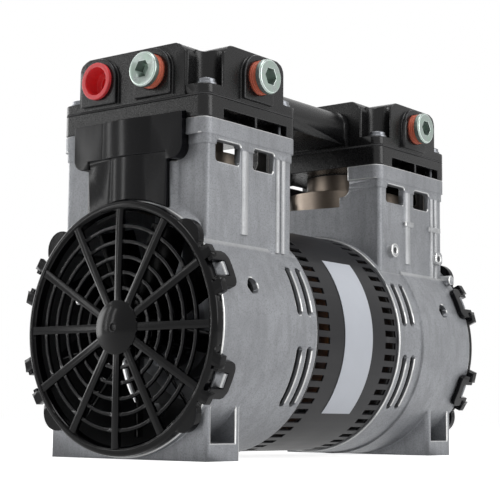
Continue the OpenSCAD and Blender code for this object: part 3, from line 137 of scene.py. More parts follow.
class CompressorStage(bpy.types.PropertyGroup):
    lens: bpy.props.FloatProperty(name="Lens", description="Focal length in millimetres", default=99.13)
    yaw: angle_prop("Yaw", "Camera heading, turned from the shaft's axis", 37.898)
    pitch: angle_prop("Pitch", "Camera tilt above the level", 6.996)
    roll: angle_prop("Roll", "Camera roll", 0.576)
    place: bpy.props.FloatVectorProperty(
        name="Place",
        description="Camera place",
        subtype="TRANSLATION",
        size=3,
        default=(-0.72316, -0.54795, 0.02372),
    )


# Shader nodes

MIX_FIRST, MIX_SECOND, MIX_OUT = 6, 7, 2


class Signal:
    """An output socket that takes part in sums the way a number does."""

    def __init__(self, nodes, socket):
        self.nodes = nodes
        self.socket = socket

    def maths(self, operation, *values):
        """The outcome of a Math node's operation on signals or numbers."""
        return self.nodes.node("ShaderNodeMath", {"operation": operation}, dict(enumerate(values)))

    def __add__(self, other):
        return self.maths("ADD", self, other)

    def __radd__(self, other):
        return self.maths("ADD", other, self)

    def __sub__(self, other):
        return self.maths("SUBTRACT", self, other)

    def __rsub__(self, other):
        return self.maths("SUBTRACT", other, self)

    def __mul__(self, other):
        return self.maths("MULTIPLY", self, other)

    def __rmul__(self, other):
        return self.maths("MULTIPLY", other, self)

    def size(self):
        """The value without its sign."""
        return self.maths("ABSOLUTE", self)

    def above(self, level, softness):
        """A mask that rises from 0 to 1 as the value passes a level."""
        settings = {"interpolation_type": "SMOOTHSTEP"}
        inputs = {"Value": self, "From Min": level - softness, "From Max": level + softness}
        return self.nodes.node("ShaderNodeMapRange", settings, inputs)


class Nodes:
    """A node tree that is built from the start."""

    def __init__(self, tree):
        self.tree = tree
        self.tree.nodes.clear()

    def node(self, kind, settings, inputs, output=0):
        """Adds a node and gives back one of its outputs, if it has any."""
        made = self.tree.nodes.new(kind)
        for name, value in settings.items():
            setattr(made, name, value)
        for name, value in inputs.items():
            self.join(value, made.inputs[name])
        return Signal(self, made.outputs[output]) if made.outputs else None

    def join(self, value, socket):
        """Links a signal to a socket, or sets a plain value on it."""
        if isinstance(value, Signal):
            self.tree.links.new(value.socket, socket)
        else:
            socket.default_value = value

    def seen_plainly(self):
        """1 for the camera and in reflections, 0 for the rays that carry soft light."""
        kinds = ("Is Camera Ray", "Is Glossy Ray", "Is Transmission Ray")
        camera, glossy, clear = [self.node("ShaderNodeLightPath", {}, {}, kind) for kind in kinds]
        return self.node("ShaderNodeClamp", {}, {"Value": camera + glossy + clear})


class Paint(Nodes):
    """A material on the object's own coordinates."""

    def __init__(self, colour, roughness, metallic=0.0, **constants):
        self.material = bpy.data.materials.new("paint")
        self.material.use_nodes = True
        super().__init__(self.material.node_tree)
        self.colour = colour
        self.shader = self.node("ShaderNodeBsdfPrincipled", {}, {})
        self.node("ShaderNodeOutputMaterial", {}, {"Surface": self.shader})
        self.set(Base_Color=(*colour, 1.0), Roughness=roughness, Metallic=metallic, **constants)
        self.place = self.node("ShaderNodeTexCoord", {}, {}, "Object")
        self.relief = None

    def set(self, **values):
        """Feeds the shader's sockets, whose names are written with underscores."""
        for name, value in values.items():
            self.join(value, self.shader.socket.node.inputs[name.replace("_", " ")])

    def noise(self, size, detail=2.0, roughness=0.5, stretch=EVEN):
        """Noise whose blotches are about one size across, in metres."""
        place = self.stretched(stretch)
        inputs = {"Vector": place, "Scale": 1 / size, "Detail": detail, "Roughness": roughness}
        return self.node("ShaderNodeTexNoise", {}, inputs)

    def stretched(self, stretch):
        """The place, with each axis scaled by itself."""
        if stretch == EVEN:
            return self.place
        inputs = {"Vector": self.place, "Scale": stretch}
        return self.node("ShaderNodeMapping", {"vector_type": "POINT"}, inputs)

    def mix(self, factor, first, second):
        """A blend of two colours."""
        inputs = {0: factor, MIX_FIRST: self.solid(first), MIX_SECOND: self.solid(second)}
        return self.node("ShaderNodeMix", {"data_type": "RGBA"}, inputs, MIX_OUT)

    def solid(self, colour):
        """A colour as a socket takes it."""
        return colour if isinstance(colour, Signal) else (*colour, 1.0)

    def shade(self, share):
        """The paint's own colour made darker or lighter."""
        return tuple(min(1.0, level * share) for level in self.colour)

    def off_axis(self):
        """Distance from the shaft's axis, in metres."""
        inputs = {0: self.place, 1: tuple(SHAFT_AXIS)}
        offset = self.node("ShaderNodeVectorMath", {"operation": "SUBTRACT"}, inputs)
        across = self.node("ShaderNodeVectorMath", {"operation": "MULTIPLY"}, {0: offset, 1: (0, 1, 1)})
        return self.node("ShaderNodeVectorMath", {"operation": "LENGTH"}, {0: across}, "Value")

    def along(self, axis):
        """The place along one of the object's axes, in metres."""
        return self.node("ShaderNodeSeparateXYZ", {}, {"Vector": self.place}, axis)

    def edge_mask(self):
        """1 on the upright rounded edges of a dressed piece and less on the flat ones; the finishes lay
        painted highlights on it.
        """
        return self.node("ShaderNodeAttribute", {"attribute_name": "soft_edge"}, {}, "Fac")

    def bump(self, height, depth, strength=1.0):
        """Adds a relief of a depth in metres under what is there already."""
        inputs = {"Height": height, "Distance": depth, "Strength": strength}
        if self.relief is not None:
            inputs["Normal"] = self.relief
        self.relief = self.node("ShaderNodeBump", {}, inputs)
        self.set(Normal=self.relief)


# Finishes, one for each slot

FINISHES = {}
MADE = {}


def finish(maker):
    """Registers a function that makes the material of a slot."""
    FINISHES[maker.__name__] = maker
    return maker


def finish_for(slot):
    """The material of a slot, made once."""
    if slot not in MADE:
        MADE[slot] = FINISHES[slot](bpy.context.scene.compressor_colours).material
        MADE[slot].name = slot + "_finish"
    return MADE[slot]


# Painted shade in the fan chamber and painted highlight on the edges and ribs: their reaches, fades and the
# highlight's tint
CHAMBER_REACH = 71.2 * MM
CHAMBER_SHADE_FADE = 0.6 * MM
RIB_FACE = 56.6 * MM
RIB_FADE = 0.3 * MM
RIB_LOW = 122 * MM
RIB_TOP = 179.4 * MM
ROOT_FADE = 1 * MM
WEAR_AND_HIGHLIGHT_TINT = (3.0, 2.92, 2.7)


def tower_ribs(paint):
    """1 on the ribs and bosses that stand proud of the towers' sides, which get a painted highlight."""
    height = paint.along("Z")
    proud = paint.along("Y").size().above(RIB_FACE, RIB_FADE)
    return proud * height.above(RIB_LOW, ROOT_FADE) * (1 - height.above(RIB_TOP, RIB_FADE))


@finish
def cast_aluminium(colours):
    """Die casting: a fine skin with faint flow marks, a painted highlight on its edges and ribs that partly
    stands for rubbed metal, and painted shade in the fan chamber.
    """
    paint = Paint(colours.casting, 0.4, Specular_IOR_Level=0.5)
    skin = paint.noise(0.9 * MM, 3.0, 0.7)
    flow = paint.noise(22 * MM, 4.0, 0.65)
    streak = paint.noise(5 * MM, 2.0, 0.5, (1, 1, 0.18))
    tone = paint.mix(flow, paint.shade(0.6), paint.shade(1.3))
    tone = paint.mix(streak.above(0.56, 0.12) * 0.5, tone, paint.shade(0.7))
    tone = paint.mix(skin.above(0.56, 0.1) * 0.55, tone, paint.shade(0.5))
    # Painted highlight, partly standing for rubbed metal: the edges, upright ones most, and the towers'
    # proud ribs turn a warm bright tint, smoother and more metallic
    wear_and_highlight = paint.edge_mask() * (0.6 + flow * 0.5) + tower_ribs(paint) * (0.1 + flow * 0.2)
    warm = tuple(min(1.0, level * tint) for level, tint in zip(colours.casting, WEAR_AND_HIGHLIGHT_TINT))
    # Painted shade: inside the fan chamber, near the shaft's axis, the casting turns nearly black and
    # rougher
    chamber_shade = 1 - paint.off_axis().above(CHAMBER_REACH, CHAMBER_SHADE_FADE)
    paint.set(Base_Color=paint.mix(chamber_shade * 0.92, paint.mix(wear_and_highlight, tone, warm), paint.shade(0.05)))
    paint.set(Roughness=0.38 + skin * 0.2 - wear_and_highlight * 0.2 + chamber_shade * 0.3, Metallic=0.35 + wear_and_highlight * 0.4)
    paint.bump(skin, 0.16 * MM, 0.7)
    paint.bump(paint.noise(3.2 * MM, 2.0), 0.14 * MM, 0.35)
    return paint


@finish
def black_casting(colours):
    """Satin black over a cast skin, with a painted highlight on its edges."""
    paint = Paint(colours.head, 0.26, Specular_IOR_Level=0.3)
    skin = paint.noise(0.8 * MM, 3.0, 0.6)
    cloud = paint.noise(16 * MM, 3.0)
    tone = paint.mix(cloud, paint.shade(0.7), paint.shade(1.5))
    # Painted highlight: the edges, upright ones most, turn far lighter than the black
    edge_highlight = paint.edge_mask() * (0.3 + cloud * 0.5)
    paint.set(Base_Color=paint.mix(edge_highlight, tone, paint.shade(9.0)))
    paint.set(Roughness=0.18 + skin * 0.18)
    paint.bump(skin, 0.1 * MM, 0.7)
    paint.bump(paint.noise(2.6 * MM, 2.0), 0.14 * MM, 0.35)
    return paint


@finish
def black_plastic(colours):
    """Moulded nylon with a fine spark texture."""
    paint = Paint(colours.guard, 0.12, Specular_IOR_Level=0.14)
    spark = paint.noise(0.5 * MM, 2.0)
    cloud = paint.noise(12 * MM, 2.0)
    tone = paint.mix(cloud, paint.shade(0.7), paint.shade(1.4))
    # Painted highlight on the edges, upright ones most
    paint.set(Base_Color=paint.mix(paint.edge_mask() * 0.4, tone, paint.shade(8.0)))
    paint.set(Roughness=0.07 + cloud * 0.08 + spark * 0.05)
    paint.bump(spark, 0.015 * MM, 0.4)
    return paint


@finish
def gloss_duct_plastic(colours):
    """Polished moulding with a little dust and faint flow lines."""
    paint = Paint(colours.duct, 0.1, Specular_IOR_Level=0.15)
    cloud = paint.noise(25 * MM, 2.0)
    dust = paint.noise(0.6 * MM, 1.0).above(0.7, 0.03)
    tone = paint.mix(cloud, paint.shade(0.8), paint.shade(1.4))
    # Real dust specks and a painted highlight on the edges both lighten the black
    paint.set(Base_Color=paint.mix(dust * 0.25 + paint.edge_mask() * 0.3, tone, paint.shade(6.0)))
    paint.set(Roughness=0.1 + cloud * 0.08 + dust * 0.3)
    paint.bump(paint.noise(9 * MM, 1.0, 0.5, (1, 1, 0.3)), 0.12 * MM, 0.3)
    return paint


@finish
def motor_shell_paint(colours):
    """Rolled sheet under semi-gloss paint with a slight orange peel."""
    paint = Paint(colours.shell, 0.36, Specular_IOR_Level=0.15)
    peel = paint.noise(1.6 * MM, 2.0)
    cloud = paint.noise(30 * MM, 3.0)
    tone = paint.mix(cloud, paint.shade(0.85), paint.shade(1.15))
    # Painted highlight on the edges
    paint.set(Base_Color=paint.mix(paint.edge_mask() * 0.6, tone, paint.shade(4.0)))
    paint.set(Roughness=0.3 + cloud * 0.14)
    paint.bump(peel, 0.05 * MM, 0.4)
    return paint


@finish
def label_film(colours):
    """Bare label film with a faint weave and soft handling marks."""
    paint = Paint(colours.label, 0.4, 0.0)
    cloud = paint.noise(14 * MM, 3.0)
    fibre = paint.noise(0.5 * MM, 2.0, 0.5, (0.25, 1, 1))
    paint.set(Base_Color=paint.mix(cloud * 0.6 + fibre * 0.3, paint.shade(1.04), paint.shade(0.9)))
    paint.set(Roughness=0.34 + fibre * 0.14)
    paint.bump(fibre, 0.01 * MM, 0.4)
    return paint


@finish
def red_plastic(colours):
    """Soft waxy polyethylene, scuffed pale in places, with a painted highlight on its edges."""
    paint = Paint(colours.cap, 0.34, 0.0, Subsurface_Weight=0.12, Subsurface_Scale=0.002)
    cloud = paint.noise(4 * MM, 3.0)
    scuff = paint.noise(0.8 * MM, 2.0, 0.5, (1, 0.3, 1)).above(0.62, 0.05)
    tone = paint.mix(cloud, paint.shade(0.8), paint.shade(1.1))
    pale = tuple(0.6 * level + 0.4 * 0.7 for level in colours.cap)
    # Real scuffs and a painted highlight on the edges both turn it pale
    paint.set(Base_Color=paint.mix(scuff * 0.18 + paint.edge_mask() * 0.25, tone, pale))
    paint.set(Roughness=0.28 + cloud * 0.14 + scuff * 0.15)
    paint.bump(cloud, 0.06 * MM, 0.4)
    return paint


@finish
def zinc_plug(colours):
    """Bright zinc with turning marks and a greenish passivation in places."""
    paint = Paint(colours.plug, 0.3, 0.72)
    cloud = paint.noise(5 * MM, 3.0)
    fine = paint.noise(0.4 * MM, 2.0)
    green = tuple(level * tint for level, tint in zip(colours.plug, (0.72, 0.82, 0.74)))
    tone = paint.mix(cloud.above(0.5, 0.12) * 0.8, paint.shade(0.8), green)
    # Painted highlight on the edges
    paint.set(Base_Color=paint.mix(paint.edge_mask() * 0.8, tone, paint.shade(2.0)))
    paint.set(Roughness=0.16 + cloud * 0.2 + fine * 0.1)
    paint.bump(fine, 0.03 * MM, 0.6)
    paint.bump(paint.noise(2 * MM, 2.0), 0.12 * MM, 0.4)
    return paint


@finish
def thread_sealant(colours):
    """Dried paste, lumpy and uneven in tone."""
    paint = Paint(colours.sealant, 0.5, 0.0)
    lump = paint.noise(1.4 * MM, 3.0, 0.6)
    paint.set(Base_Color=paint.mix(lump, paint.shade(0.55), paint.shade(1.35)))
    paint.set(Roughness=0.36 + lump * 0.3)
    paint.bump(lump, 0.25 * MM, 0.7)
    return paint


def plated(tint, roughness, lay):
    """A plated or ground metal whose tool marks run one way."""
    paint = Paint(from_screen(*tint), roughness, 1.0)
    mark = paint.noise(0.6 * MM, 2.0, 0.6, lay)
    cloud = paint.noise(7 * MM, 3.0)
    tone = paint.mix(cloud, paint.shade(0.78), paint.shade(1.08))
    # Painted highlight on the edges
    paint.set(Base_Color=paint.mix(paint.edge_mask() * 0.5, tone, paint.shade(1.4)))
    paint.set(Roughness=roughness + mark * 0.12 + cloud * 0.08 - 0.08)
    paint.bump(mark, 0.02 * MM, 0.5)
    return paint


@finish
def bolt_steel(colours):
    return plated((118, 120, 124), 0.32, (1, 1, 0.2))


@finish
def plated_steel(colours):
    return plated((200, 200, 202), 0.3, (0.2, 1, 1))


@finish
# A darker tint than bare steel: painted shade for the bearings deep inside the housings
def bearing_steel(colours):
    return plated((104, 106, 110), 0.3, (0.2, 1, 1))


@finish
def spring_steel(colours):
    return plated((188, 190, 194), 0.3, (0.15, 1, 1))


@finish
# A darker tint than bare aluminium: painted shade for the rods deep inside the housings
def rod_aluminium(colours):
    return plated((122, 124, 127), 0.46, (1, 1, 0.3))


@finish
def cast_iron(colours):
    return plated((120, 121, 124), 0.46, (1, 0.3, 1))


SHEET_SCALE = 320


@finish
def lamination_steel(colours):
    """Stacked sheets, each edge a fine line across the shaft."""
    paint = Paint(from_screen(128, 128, 132), 0.45, 0.9)
    settings = {"wave_type": "BANDS", "bands_direction": "X"}
    sheets = paint.node("ShaderNodeTexWave", settings, {"Vector": paint.place, "Scale": SHEET_SCALE})
    cloud = paint.noise(9 * MM, 3.0)
    paint.set(Base_Color=paint.mix(sheets * 0.5 + cloud * 0.4, paint.shade(0.6), paint.shade(1.1)))
    paint.set(Roughness=0.36 + cloud * 0.2)
    paint.bump(sheets, 0.06 * MM, 0.6)
    return paint


@finish
def anodised_sleeve(colours):
    """Hard anodised barrel with turning lines round it."""
    paint = Paint(colours.sleeve, 0.34, 0.9)
    rings = paint.noise(0.5 * MM, 2.0, 0.6, (0.05, 0.05, 1))
    cloud = paint.noise(12 * MM, 3.0)
    tone = paint.mix(cloud, paint.shade(0.75), paint.shade(1.25))
    paint.set(Base_Color=paint.mix(rings * 0.35, tone, paint.shade(0.55)))
    paint.set(Roughness=0.28 + rings * 0.2)
    paint.bump(rings, 0.05 * MM, 0.6)
    return paint


@finish
def copper_winding(colours):
    """Enamelled wire under a coat of varnish that pools darker."""
    paint = Paint(colours.copper, 0.3, 0.8, Coat_Roughness=0.12)
    pool = paint.noise(4 * MM, 3.0)
    fine = paint.noise(0.8 * MM, 2.0)
    gold = tuple(level * tint for level, tint in zip(colours.copper, (1.05, 1.35, 0.9)))
    paint.set(Base_Color=paint.mix(pool.above(0.48, 0.1), gold, paint.shade(0.22)))
    paint.set(Roughness=0.16 + pool * 0.18 + fine * 0.06)
    paint.set(Coat_Weight=0.3 + pool * 0.4)
    paint.bump(fine, 0.04 * MM, 0.5)
    return paint


@finish
def seal_rubber(colours):
    paint = Paint(from_screen(30, 30, 31), 0.6)
    cloud = paint.noise(2 * MM, 3.0)
    paint.set(Base_Color=paint.mix(cloud, paint.shade(0.7), paint.shade(1.6)))
    paint.set(Roughness=0.5 + cloud * 0.2)
    paint.bump(cloud, 0.05 * MM, 0.5)
    return paint


@finish
def gasket_sheet(colours):
    """Compressed fibre sheet."""
    paint = Paint(from_screen(46, 46, 47), 0.75)
    fibre = paint.noise(1.2 * MM, 3.0, 0.7, (0.3, 1, 1))
    paint.set(Base_Color=paint.mix(fibre, paint.shade(0.6), paint.shade(1.7)))
    paint.set(Roughness=0.66 + fibre * 0.2)
    paint.bump(fibre, 0.05 * MM, 0.6)
    return paint


@finish
def cup_ptfe(colours):
    """Filled fluoropolymer, mottled by its filler."""
    paint = Paint(from_screen(92, 74, 58), 0.5)
    filler = paint.noise(0.6 * MM, 3.0)
    paint.set(Base_Color=paint.mix(filler, paint.shade(0.6), paint.shade(1.4)))
    paint.set(Roughness=0.42 + filler * 0.2)
    paint.bump(filler, 0.03 * MM, 0.5)
    return paint


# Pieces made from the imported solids

FLAT_ANGLE = math.radians(0.6)
EDGE_ANGLE = math.radians(32)
SMOOTH_ANGLE = math.radians(34)
MERGE_GAP = 0.002 * MM
EDGE_TRIES = 8
SPOILT_REACH_SHARE = 1.5
SKIN_REACH_SHARE = 0.7
SLIVER_AREA = 0.01 * MM * MM
UPRIGHT_SLOPE = 0.25
FLAT_EDGE_HIGHLIGHT_SHARE = 0.5
FACE_WEIGHT = 100


def merged_copy(node):
    """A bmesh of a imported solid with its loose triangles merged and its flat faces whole."""
    shape = bmesh.new()
    shape.from_mesh(frame["nodes"][node].data)
    bmesh.ops.remove_doubles(shape, verts=shape.verts, dist=MERGE_GAP)
    bmesh.ops.dissolve_degenerate(shape, edges=shape.edges, dist=MERGE_GAP)
    bmesh.ops.dissolve_limit(
        shape, angle_limit=FLAT_ANGLE, verts=shape.verts, edges=shape.edges, use_dissolve_boundaries=False
    )
    return shape


def sharp_edges(shape, spoilt, reach):
    """Edges to round: sharp ones, away from the places where rounding went wrong."""
    tree = KDTree(len(spoilt))
    for count, place in enumerate(spoilt):
        tree.insert(place, count)
    tree.balance()

    def clear(edge):
        start, end = [corner.co for corner in edge.verts]
        return all(tree.find(place)[2] > reach for place in (start, (start + end) / 2, end))

    sharp = [edge for edge in shape.edges if edge.is_manifold and edge.calc_face_angle() > EDGE_ANGLE]
    return [edge for edge in sharp if not spoilt or clear(edge)]


def off_the_skin(shape, skin, reach):
    """Corners of the triangles that rounding threw off the solid's skin or turned over."""
    test = shape.copy()
    bmesh.ops.triangulate(test, faces=test.faces)
    test.normal_update()
    places = []
    for face in test.faces:
        _, normal, _, gap = skin.find_nearest(face.calc_center_median())
        if gap > reach or (face.normal.dot(normal) < 0 and face.calc_area() > SLIVER_AREA):
            places += [corner.co.copy() for corner in face.verts]
    test.free()
    return places


def mark_soft_edges(shape, faces, skin):
    """Marks the rounded outer edges, which lie under the sharp solid's skin, upright ones more strongly,
    for the painted highlights that the finishes lay on them.
    """
    soft = shape.loops.layers.float["soft_edge"]
    for face in faces:
        if face.is_valid:
            middle = face.calc_center_median()
            nearest, normal, _, _ = skin.find_nearest(middle)
            outer = (middle - nearest).dot(normal) < 0
            # Upright edges get the full painted highlight, flat ones a share of it
            upright = abs(face.normal.z) < UPRIGHT_SLOPE
            for corner in face.loops:
                corner[soft] = outer * (1.0 if upright else FLAT_EDGE_HIGHLIGHT_SHARE)


def round_edges(plain, skin, radius, segments):
    """The shape with its sharp edges rounded, or as it was if no try keeps to the skin."""
    spoilt = []
    for _ in range(EDGE_TRIES):
        shape = plain.copy()
        made = bmesh.ops.bevel(
            shape,
            geom=sharp_edges(shape, spoilt, SPOILT_REACH_SHARE * radius),
            offset=radius,
            offset_type="OFFSET",
            affect="EDGES",
            segments=segments,
            profile=0.5,
            material=-1,
            clamp_overlap=False,
            loop_slide=True,
        )
        mark_soft_edges(shape, made["faces"], skin)
        wild = off_the_skin(shape, skin, SKIN_REACH_SHARE * radius)
        if not wild:
            plain.free()
            return shape
        shape.free()
        spoilt += wild
    return plain


def rounded(node, radius, segments):
    """A copy of a solid whose edges are rounded, left sharp where there is no room for it."""
    plain = merged_copy(node)
    plain.loops.layers.float.new("soft_edge")
    shape = round_edges(plain, BVHTree.FromBMesh(plain), radius, segments)
    bmesh.ops.triangulate(shape, faces=shape.faces)
    return shape


def piece_for(node, shape, ending):
    """Turns a bmesh into a finished piece that rides on its node's body and stands for the node."""
    name = node + ending
    mesh = bpy.data.meshes.new(name)
    shape.to_mesh(mesh)
    shape.free()
    piece = bpy.data.objects.new(name, mesh)
    bpy.context.scene.collection.objects.link(piece)
    mesh.shade_smooth()
    mesh.set_sharp_from_angle(angle=SMOOTH_ANGLE)
    mesh.materials.append(finish_for(NODE_SLOT[node]))
    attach(piece, NODE_BODY[node])
    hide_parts(node)
    return piece


def dress(nodes, radius, segments=2):
    """Stands a rounded copy in for each node."""
    for node in nodes:
        piece = piece_for(node, rounded(node, radius, segments), "_dressed")
        shading = piece.modifiers.new("even_shading", "WEIGHTED_NORMAL")
        shading.keep_sharp = True
        shading.weight = FACE_WEIGHT


def coat(nodes):
    """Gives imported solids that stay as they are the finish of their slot."""
    for node in nodes:
        mesh = frame["nodes"][node].data
        mesh.materials.clear()
        mesh.materials.append(finish_for(NODE_SLOT[node]))


# Coils wound wire by wire

COIL_WIRES = 24
COIL_STEPS = 144
WIRE_SIDES = 6
CORE_SIDES = 20
CORE_SHARE = 0.62
WAVES = 3
WAVE_RATES = (2, 3, 4, 5, 7, 9)
WAVE_SIZES = (0.03, 0.16)
WAVE_DIP = 0.25
LACES = 18
LACE_STEPS = 36
LACE_STRAY = 0.2
X_AXIS = Vector((1, 0, 0))


def circle_of(steps):
    """The angles of the steps round a full turn."""
    return [math.tau * step / steps for step in range(steps)]


def closed_tube(shape, path, radius, across, sides):
    """A round wire along a closed path that never runs along the direction across."""
    turns = circle_of(sides)
    rings = []
    for here, point in enumerate(path):
        ahead = (path[(here + 1) % len(path)] - path[here - 1]).normalized()
        aside = ahead.cross(across).normalized()
        rise = aside.cross(ahead)
        spokes = [aside * math.cos(turn) + rise * math.sin(turn) for turn in turns]
        rings.append([shape.verts.new(point + radius * spoke) for spoke in spokes])
    for here, ring in enumerate(rings):
        following = rings[(here + 1) % len(rings)]
        for side in range(sides):
            other = (side + 1) % sides
            shape.faces.new((ring[side], ring[other], following[other], following[side]))


def wound_coil(node, wire, lace):
    """The ring of wires at one end of the stator, held by turns of lacing cord."""
    low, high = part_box(node)
    middle = (low + high) / 2
    depth = (high.x - low.x) / 2
    outer = (high.z - low.z) / 2
    centre = outer - depth
    draw = random.Random(node)
    shape = bmesh.new()

    def place(turn, section, share):
        """A point of the ring: round the shaft, round the ring's section, and out from its middle."""
        along = depth * share * math.cos(section)
        reach = centre + depth * share * math.sin(section)
        return middle + Vector((along, reach * math.cos(turn), reach * math.sin(turn)))

    turns = circle_of(COIL_STEPS)
    core = [place(turn, 0, 0) for turn in turns]
    closed_tube(shape, core, CORE_SHARE * depth, X_AXIS, CORE_SIDES)
    inset = 1 - (lace + wire / 2) / depth
    for start in circle_of(COIL_WIRES):
        waves = []
        for _ in range(WAVES):
            waves.append((draw.choice(WAVE_RATES), draw.uniform(0, math.tau), draw.uniform(*WAVE_SIZES)))
        path = []
        for turn in turns:
            sway = sum(size * math.sin(rate * turn + shift) for rate, shift, size in waves)
            path.append(place(turn, start + sway, inset - WAVE_DIP * abs(sway)))
        closed_tube(shape, path, wire / 2, X_AXIS, WIRE_SIDES)
    for count in range(LACES):
        turn = math.tau * (count + draw.uniform(-LACE_STRAY, LACE_STRAY)) / LACES
        loop = [place(turn, section, 1 - lace / 2 / depth) for section in circle_of(LACE_STEPS)]
        closed_tube(shape, loop, lace / 2, Vector((0, -math.sin(turn), math.cos(turn))), WIRE_SIDES)
    bmesh.ops.recalc_face_normals(shape, faces=shape.faces)
    return shape


# One operator for each group of pieces

ENDS = ("_near", "_far")


def both_ends(*names):
    """The near and the far node of each name."""
    return [name + end for name in names for end in ENDS]


class COMPRESSOR_OT_castings(bpy.types.Operator):
    """Round the edges of the housings and give them their cast skin"""

    bl_idname = "compressor.castings"
    bl_label = "Castings"

    def execute(self, context):
        dress(both_ends("housing"), context.scene.compressor_sizes.casting_edge)
        return {"FINISHED"}


class COMPRESSOR_OT_heads(bpy.types.Operator):
    """Round and paint the heads, valve plates and manifold, with their bolts and gaskets"""

    bl_idname = "compressor.heads"
    bl_label = "Heads"

    def execute(self, context):
        sizes = context.scene.compressor_sizes
        dress(both_ends("head", "valve_plate") + ["manifold"], sizes.head_edge)
        dress(both_ends("head_bolts"), sizes.small_edge)
        coat(["head_gaskets", "manifold_seals", "cylinder_seals"])
        return {"FINISHED"}


class COMPRESSOR_OT_ports(bpy.types.Operator):
    """Finish the port plugs, their sealant and the red cap"""

    bl_idname = "compressor.ports"
    bl_label = "Ports"

    def execute(self, context):
        sizes = context.scene.compressor_sizes
        dress(["port_plugs"], sizes.small_edge)
        dress(["port_cap"], sizes.plastic_edge)
        coat(["plug_sealant"])
        return {"FINISHED"}


class COMPRESSOR_OT_fan_end(bpy.types.Operator):
    """Finish the guards, ducts and fans"""

    bl_idname = "compressor.fan_end"
    bl_label = "Fan end"

    def execute(self, context):
        sizes = context.scene.compressor_sizes
        dress(both_ends("guard", "duct"), sizes.plastic_edge)
        dress(both_ends("fan"), sizes.plastic_edge, 1)
        return {"FINISHED"}


class COMPRESSOR_OT_motor(bpy.types.Operator):
    """Finish the motor's shell, label, stator, rotor and windings"""

    bl_idname = "compressor.motor"
    bl_label = "Motor"

    def execute(self, context):
        sizes = context.scene.compressor_sizes
        dress(["motor_shell"], sizes.small_edge, 1)
        coat(["name_plate", "stator_core", "slot_windings", "rotor_core", "shaft", "tie_bolts"])
        for node in both_ends("winding"):
            piece_for(node, wound_coil(node, sizes.wire, sizes.lace), "_wound")
        return {"FINISHED"}


CRANK_NODES = (
    "bearing_outer_rings",
    "bearing_inner_rings",
    "bearing_balls",
    "rod_bearing_inner_rings",
    "rod_bearing_balls",
    "set_screws",
    "reed_rivets",
    "reed_stops",
)
CRANK_PAIRS = (
    "rod_bearing_outer",
    "eccentric",
    "rod",
    "piston_cup",
    "cup_retainer",
    "retainer_screw",
    "intake_reed",
    "exhaust_reed",
)


class COMPRESSOR_OT_crank(bpy.types.Operator):
    """Finish the bearings, eccentrics, rods, pistons, cylinders and valves"""

    bl_idname = "compressor.crank"
    bl_label = "Crank and valves"

    def execute(self, context):
        dress(both_ends("cylinder"), context.scene.compressor_sizes.small_edge)
        coat(CRANK_NODES)
        coat(both_ends(*CRANK_PAIRS))
        return {"FINISHED"}


# The stage

WHITE = (1, 1, 1)
SKY_STRENGTH = 0.25
FLOOR_GREY = (0.8, 0.8, 0.8)
FLOOR_GLOW = 0.8
FLOOR_REACH = 40
SENSOR_WIDTH = 36

# Each lamp's name, its place, its width and height in metres, and its watts
LAMPS = (
    ("right_box", (0.3, -1.6, 0.6), (1.0, 0.8), 11),
    ("left_box", (-0.25, 1.5, 0.35), (0.8, 0.8), 8),
    ("left_strip", (-1.19, 1.07, 0.43), (0.08, 0.7), 1.2),
    ("inner_strip", (-0.89, 1.3, 0.43), (0.05, 0.7), 0.8),
    ("top_box", (-0.2, -0.3, 1.6), (0.7, 0.7), 10),
    ("back_box", (1.2, 1.4, 1.0), (1.0, 1.0), 7),
)


def soft_box(name, place, extent, watts):
    """An area lamp that faces the middle of the object."""
    lamp = bpy.data.lights.new(name, "AREA")
    lamp.shape = "RECTANGLE"
    lamp.size, lamp.size_y = extent
    lamp.energy = watts
    box = bpy.data.objects.new(name, lamp)
    bpy.context.scene.collection.objects.link(box)
    box.location = place
    middle = (CAD_LOW + CAD_HIGH) / 2
    box.rotation_euler = (middle - Vector(place)).to_track_quat("-Z", "Y").to_euler()


def studio_world():
    """Pale surroundings: plain white to the camera and in reflections, softer as light."""
    world = bpy.data.worlds.new("studio")
    bpy.context.scene.world = world
    world.use_nodes = True
    nodes = Nodes(world.node_tree)
    soft = nodes.node("ShaderNodeBackground", {}, {"Color": (*WHITE, 1), "Strength": SKY_STRENGTH})
    plain = nodes.node("ShaderNodeBackground", {}, {"Color": (*WHITE, 1)})
    mixed = nodes.node("ShaderNodeMixShader", {}, {0: nodes.seen_plainly(), 1: soft, 2: plain})
    nodes.node("ShaderNodeOutputWorld", {}, {"Surface": mixed})


def studio_floor():
    """A matt floor that glows to the camera and in reflections, so that only the shadow shows on it."""
    paint = Paint(FLOOR_GREY, 0.9, Specular_IOR_Level=0, Emission_Strength=FLOOR_GLOW)
    paint.set(Emission_Color=paint.mix(paint.seen_plainly(), (0, 0, 0), WHITE))
    paint.material.name = "floor_white"
    shape = bmesh.new()
    bmesh.ops.create_grid(shape, x_segments=1, y_segments=1, size=FLOOR_REACH)
    mesh = bpy.data.meshes.new("floor")
    shape.to_mesh(mesh)
    shape.free()
    mesh.materials.append(paint.material)
    floor = bpy.data.objects.new("floor", mesh)
    bpy.context.scene.collection.objects.link(floor)


def camera_turn(stage):
    """The camera's axes from its heading, tilt and roll."""
    ahead = Vector((math.cos(stage.yaw), math.sin(stage.yaw), 0))
    up = Vector((0, 0, 1))
    forward = ahead * math.cos(stage.pitch) + up * math.sin(stage.pitch)
    level_up = up * math.cos(stage.pitch) - ahead * math.sin(stage.pitch)
    level_right = Vector((math.sin(stage.yaw), -math.cos(stage.yaw), 0))
    right = level_right * math.cos(stage.roll) + level_up * math.sin(stage.roll)
    over = level_up * math.cos(stage.roll) - level_right * math.sin(stage.roll)
    return Matrix((right, over, -forward)).transposed()


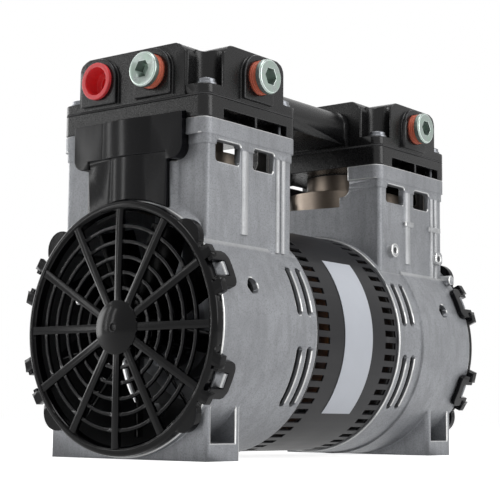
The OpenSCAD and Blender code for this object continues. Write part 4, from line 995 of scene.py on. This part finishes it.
def studio_camera(stage):
    """The camera that sees the object as the photograph does."""
    lens = bpy.data.cameras.new("camera")
    lens.lens = stage.lens
    lens.sensor_width = SENSOR_WIDTH
    camera = bpy.data.objects.new("camera", lens)
    bpy.context.scene.collection.objects.link(camera)
    camera.matrix_world = Matrix.LocRotScale(Vector(stage.place), camera_turn(stage), None)
    bpy.context.scene.camera = camera


class COMPRESSOR_OT_stage(bpy.types.Operator):
    """Set out the pale floor, the soft boxes, the surroundings and the camera"""

    bl_idname = "compressor.stage"
    bl_label = "Stage"

    def execute(self, context):
        studio_floor()
        for lamp in LAMPS:
            soft_box(*lamp)
        studio_world()
        studio_camera(context.scene.compressor_stage)
        context.scene.view_settings.view_transform = "Standard"
        return {"FINISHED"}


# The panel and the steps in their order

STEPS = (
    COMPRESSOR_OT_stage,
    COMPRESSOR_OT_castings,
    COMPRESSOR_OT_heads,
    COMPRESSOR_OT_ports,
    COMPRESSOR_OT_fan_end,
    COMPRESSOR_OT_motor,
    COMPRESSOR_OT_crank,
)


class COMPRESSOR_PT_panel(bpy.types.Panel):
    """Lists the steps and their sizes and colours"""

    bl_idname = "COMPRESSOR_PT_panel"
    bl_label = "Compressor"
    bl_space_type = "VIEW_3D"
    bl_region_type = "UI"
    bl_category = "Compressor"

    def draw(self, context):
        for group in ("compressor_sizes", "compressor_colours", "compressor_stage"):
            values = getattr(context.scene, group)
            box = self.layout.box()
            for name in values.__annotations__:
                box.prop(values, name)
        for step in STEPS:
            self.layout.operator(step.bl_idname)


GROUPS = {
    "compressor_sizes": CompressorSizes,
    "compressor_colours": CompressorColours,
    "compressor_stage": CompressorStage,
}


def register():
    """Registers the groups of values, the operators and the panel."""
    for name, group in GROUPS.items():
        bpy.utils.register_class(group)
        setattr(bpy.types.Scene, name, bpy.props.PointerProperty(type=group))
    for made in (*STEPS, COMPRESSOR_PT_panel):
        bpy.utils.register_class(made)


def unregister():
    """Takes back all that register did."""
    for made in (COMPRESSOR_PT_panel, *reversed(STEPS)):
        bpy.utils.unregister_class(made)
    for name, group in GROUPS.items():
        delattr(bpy.types.Scene, name)
        bpy.utils.unregister_class(group)


def main():
    """Builds the whole scene."""
    register()
    for step in STEPS:
        category, name = step.bl_idname.split(".")
        getattr(getattr(bpy.ops, category), name)()


if __name__ == "__main__":
    main()
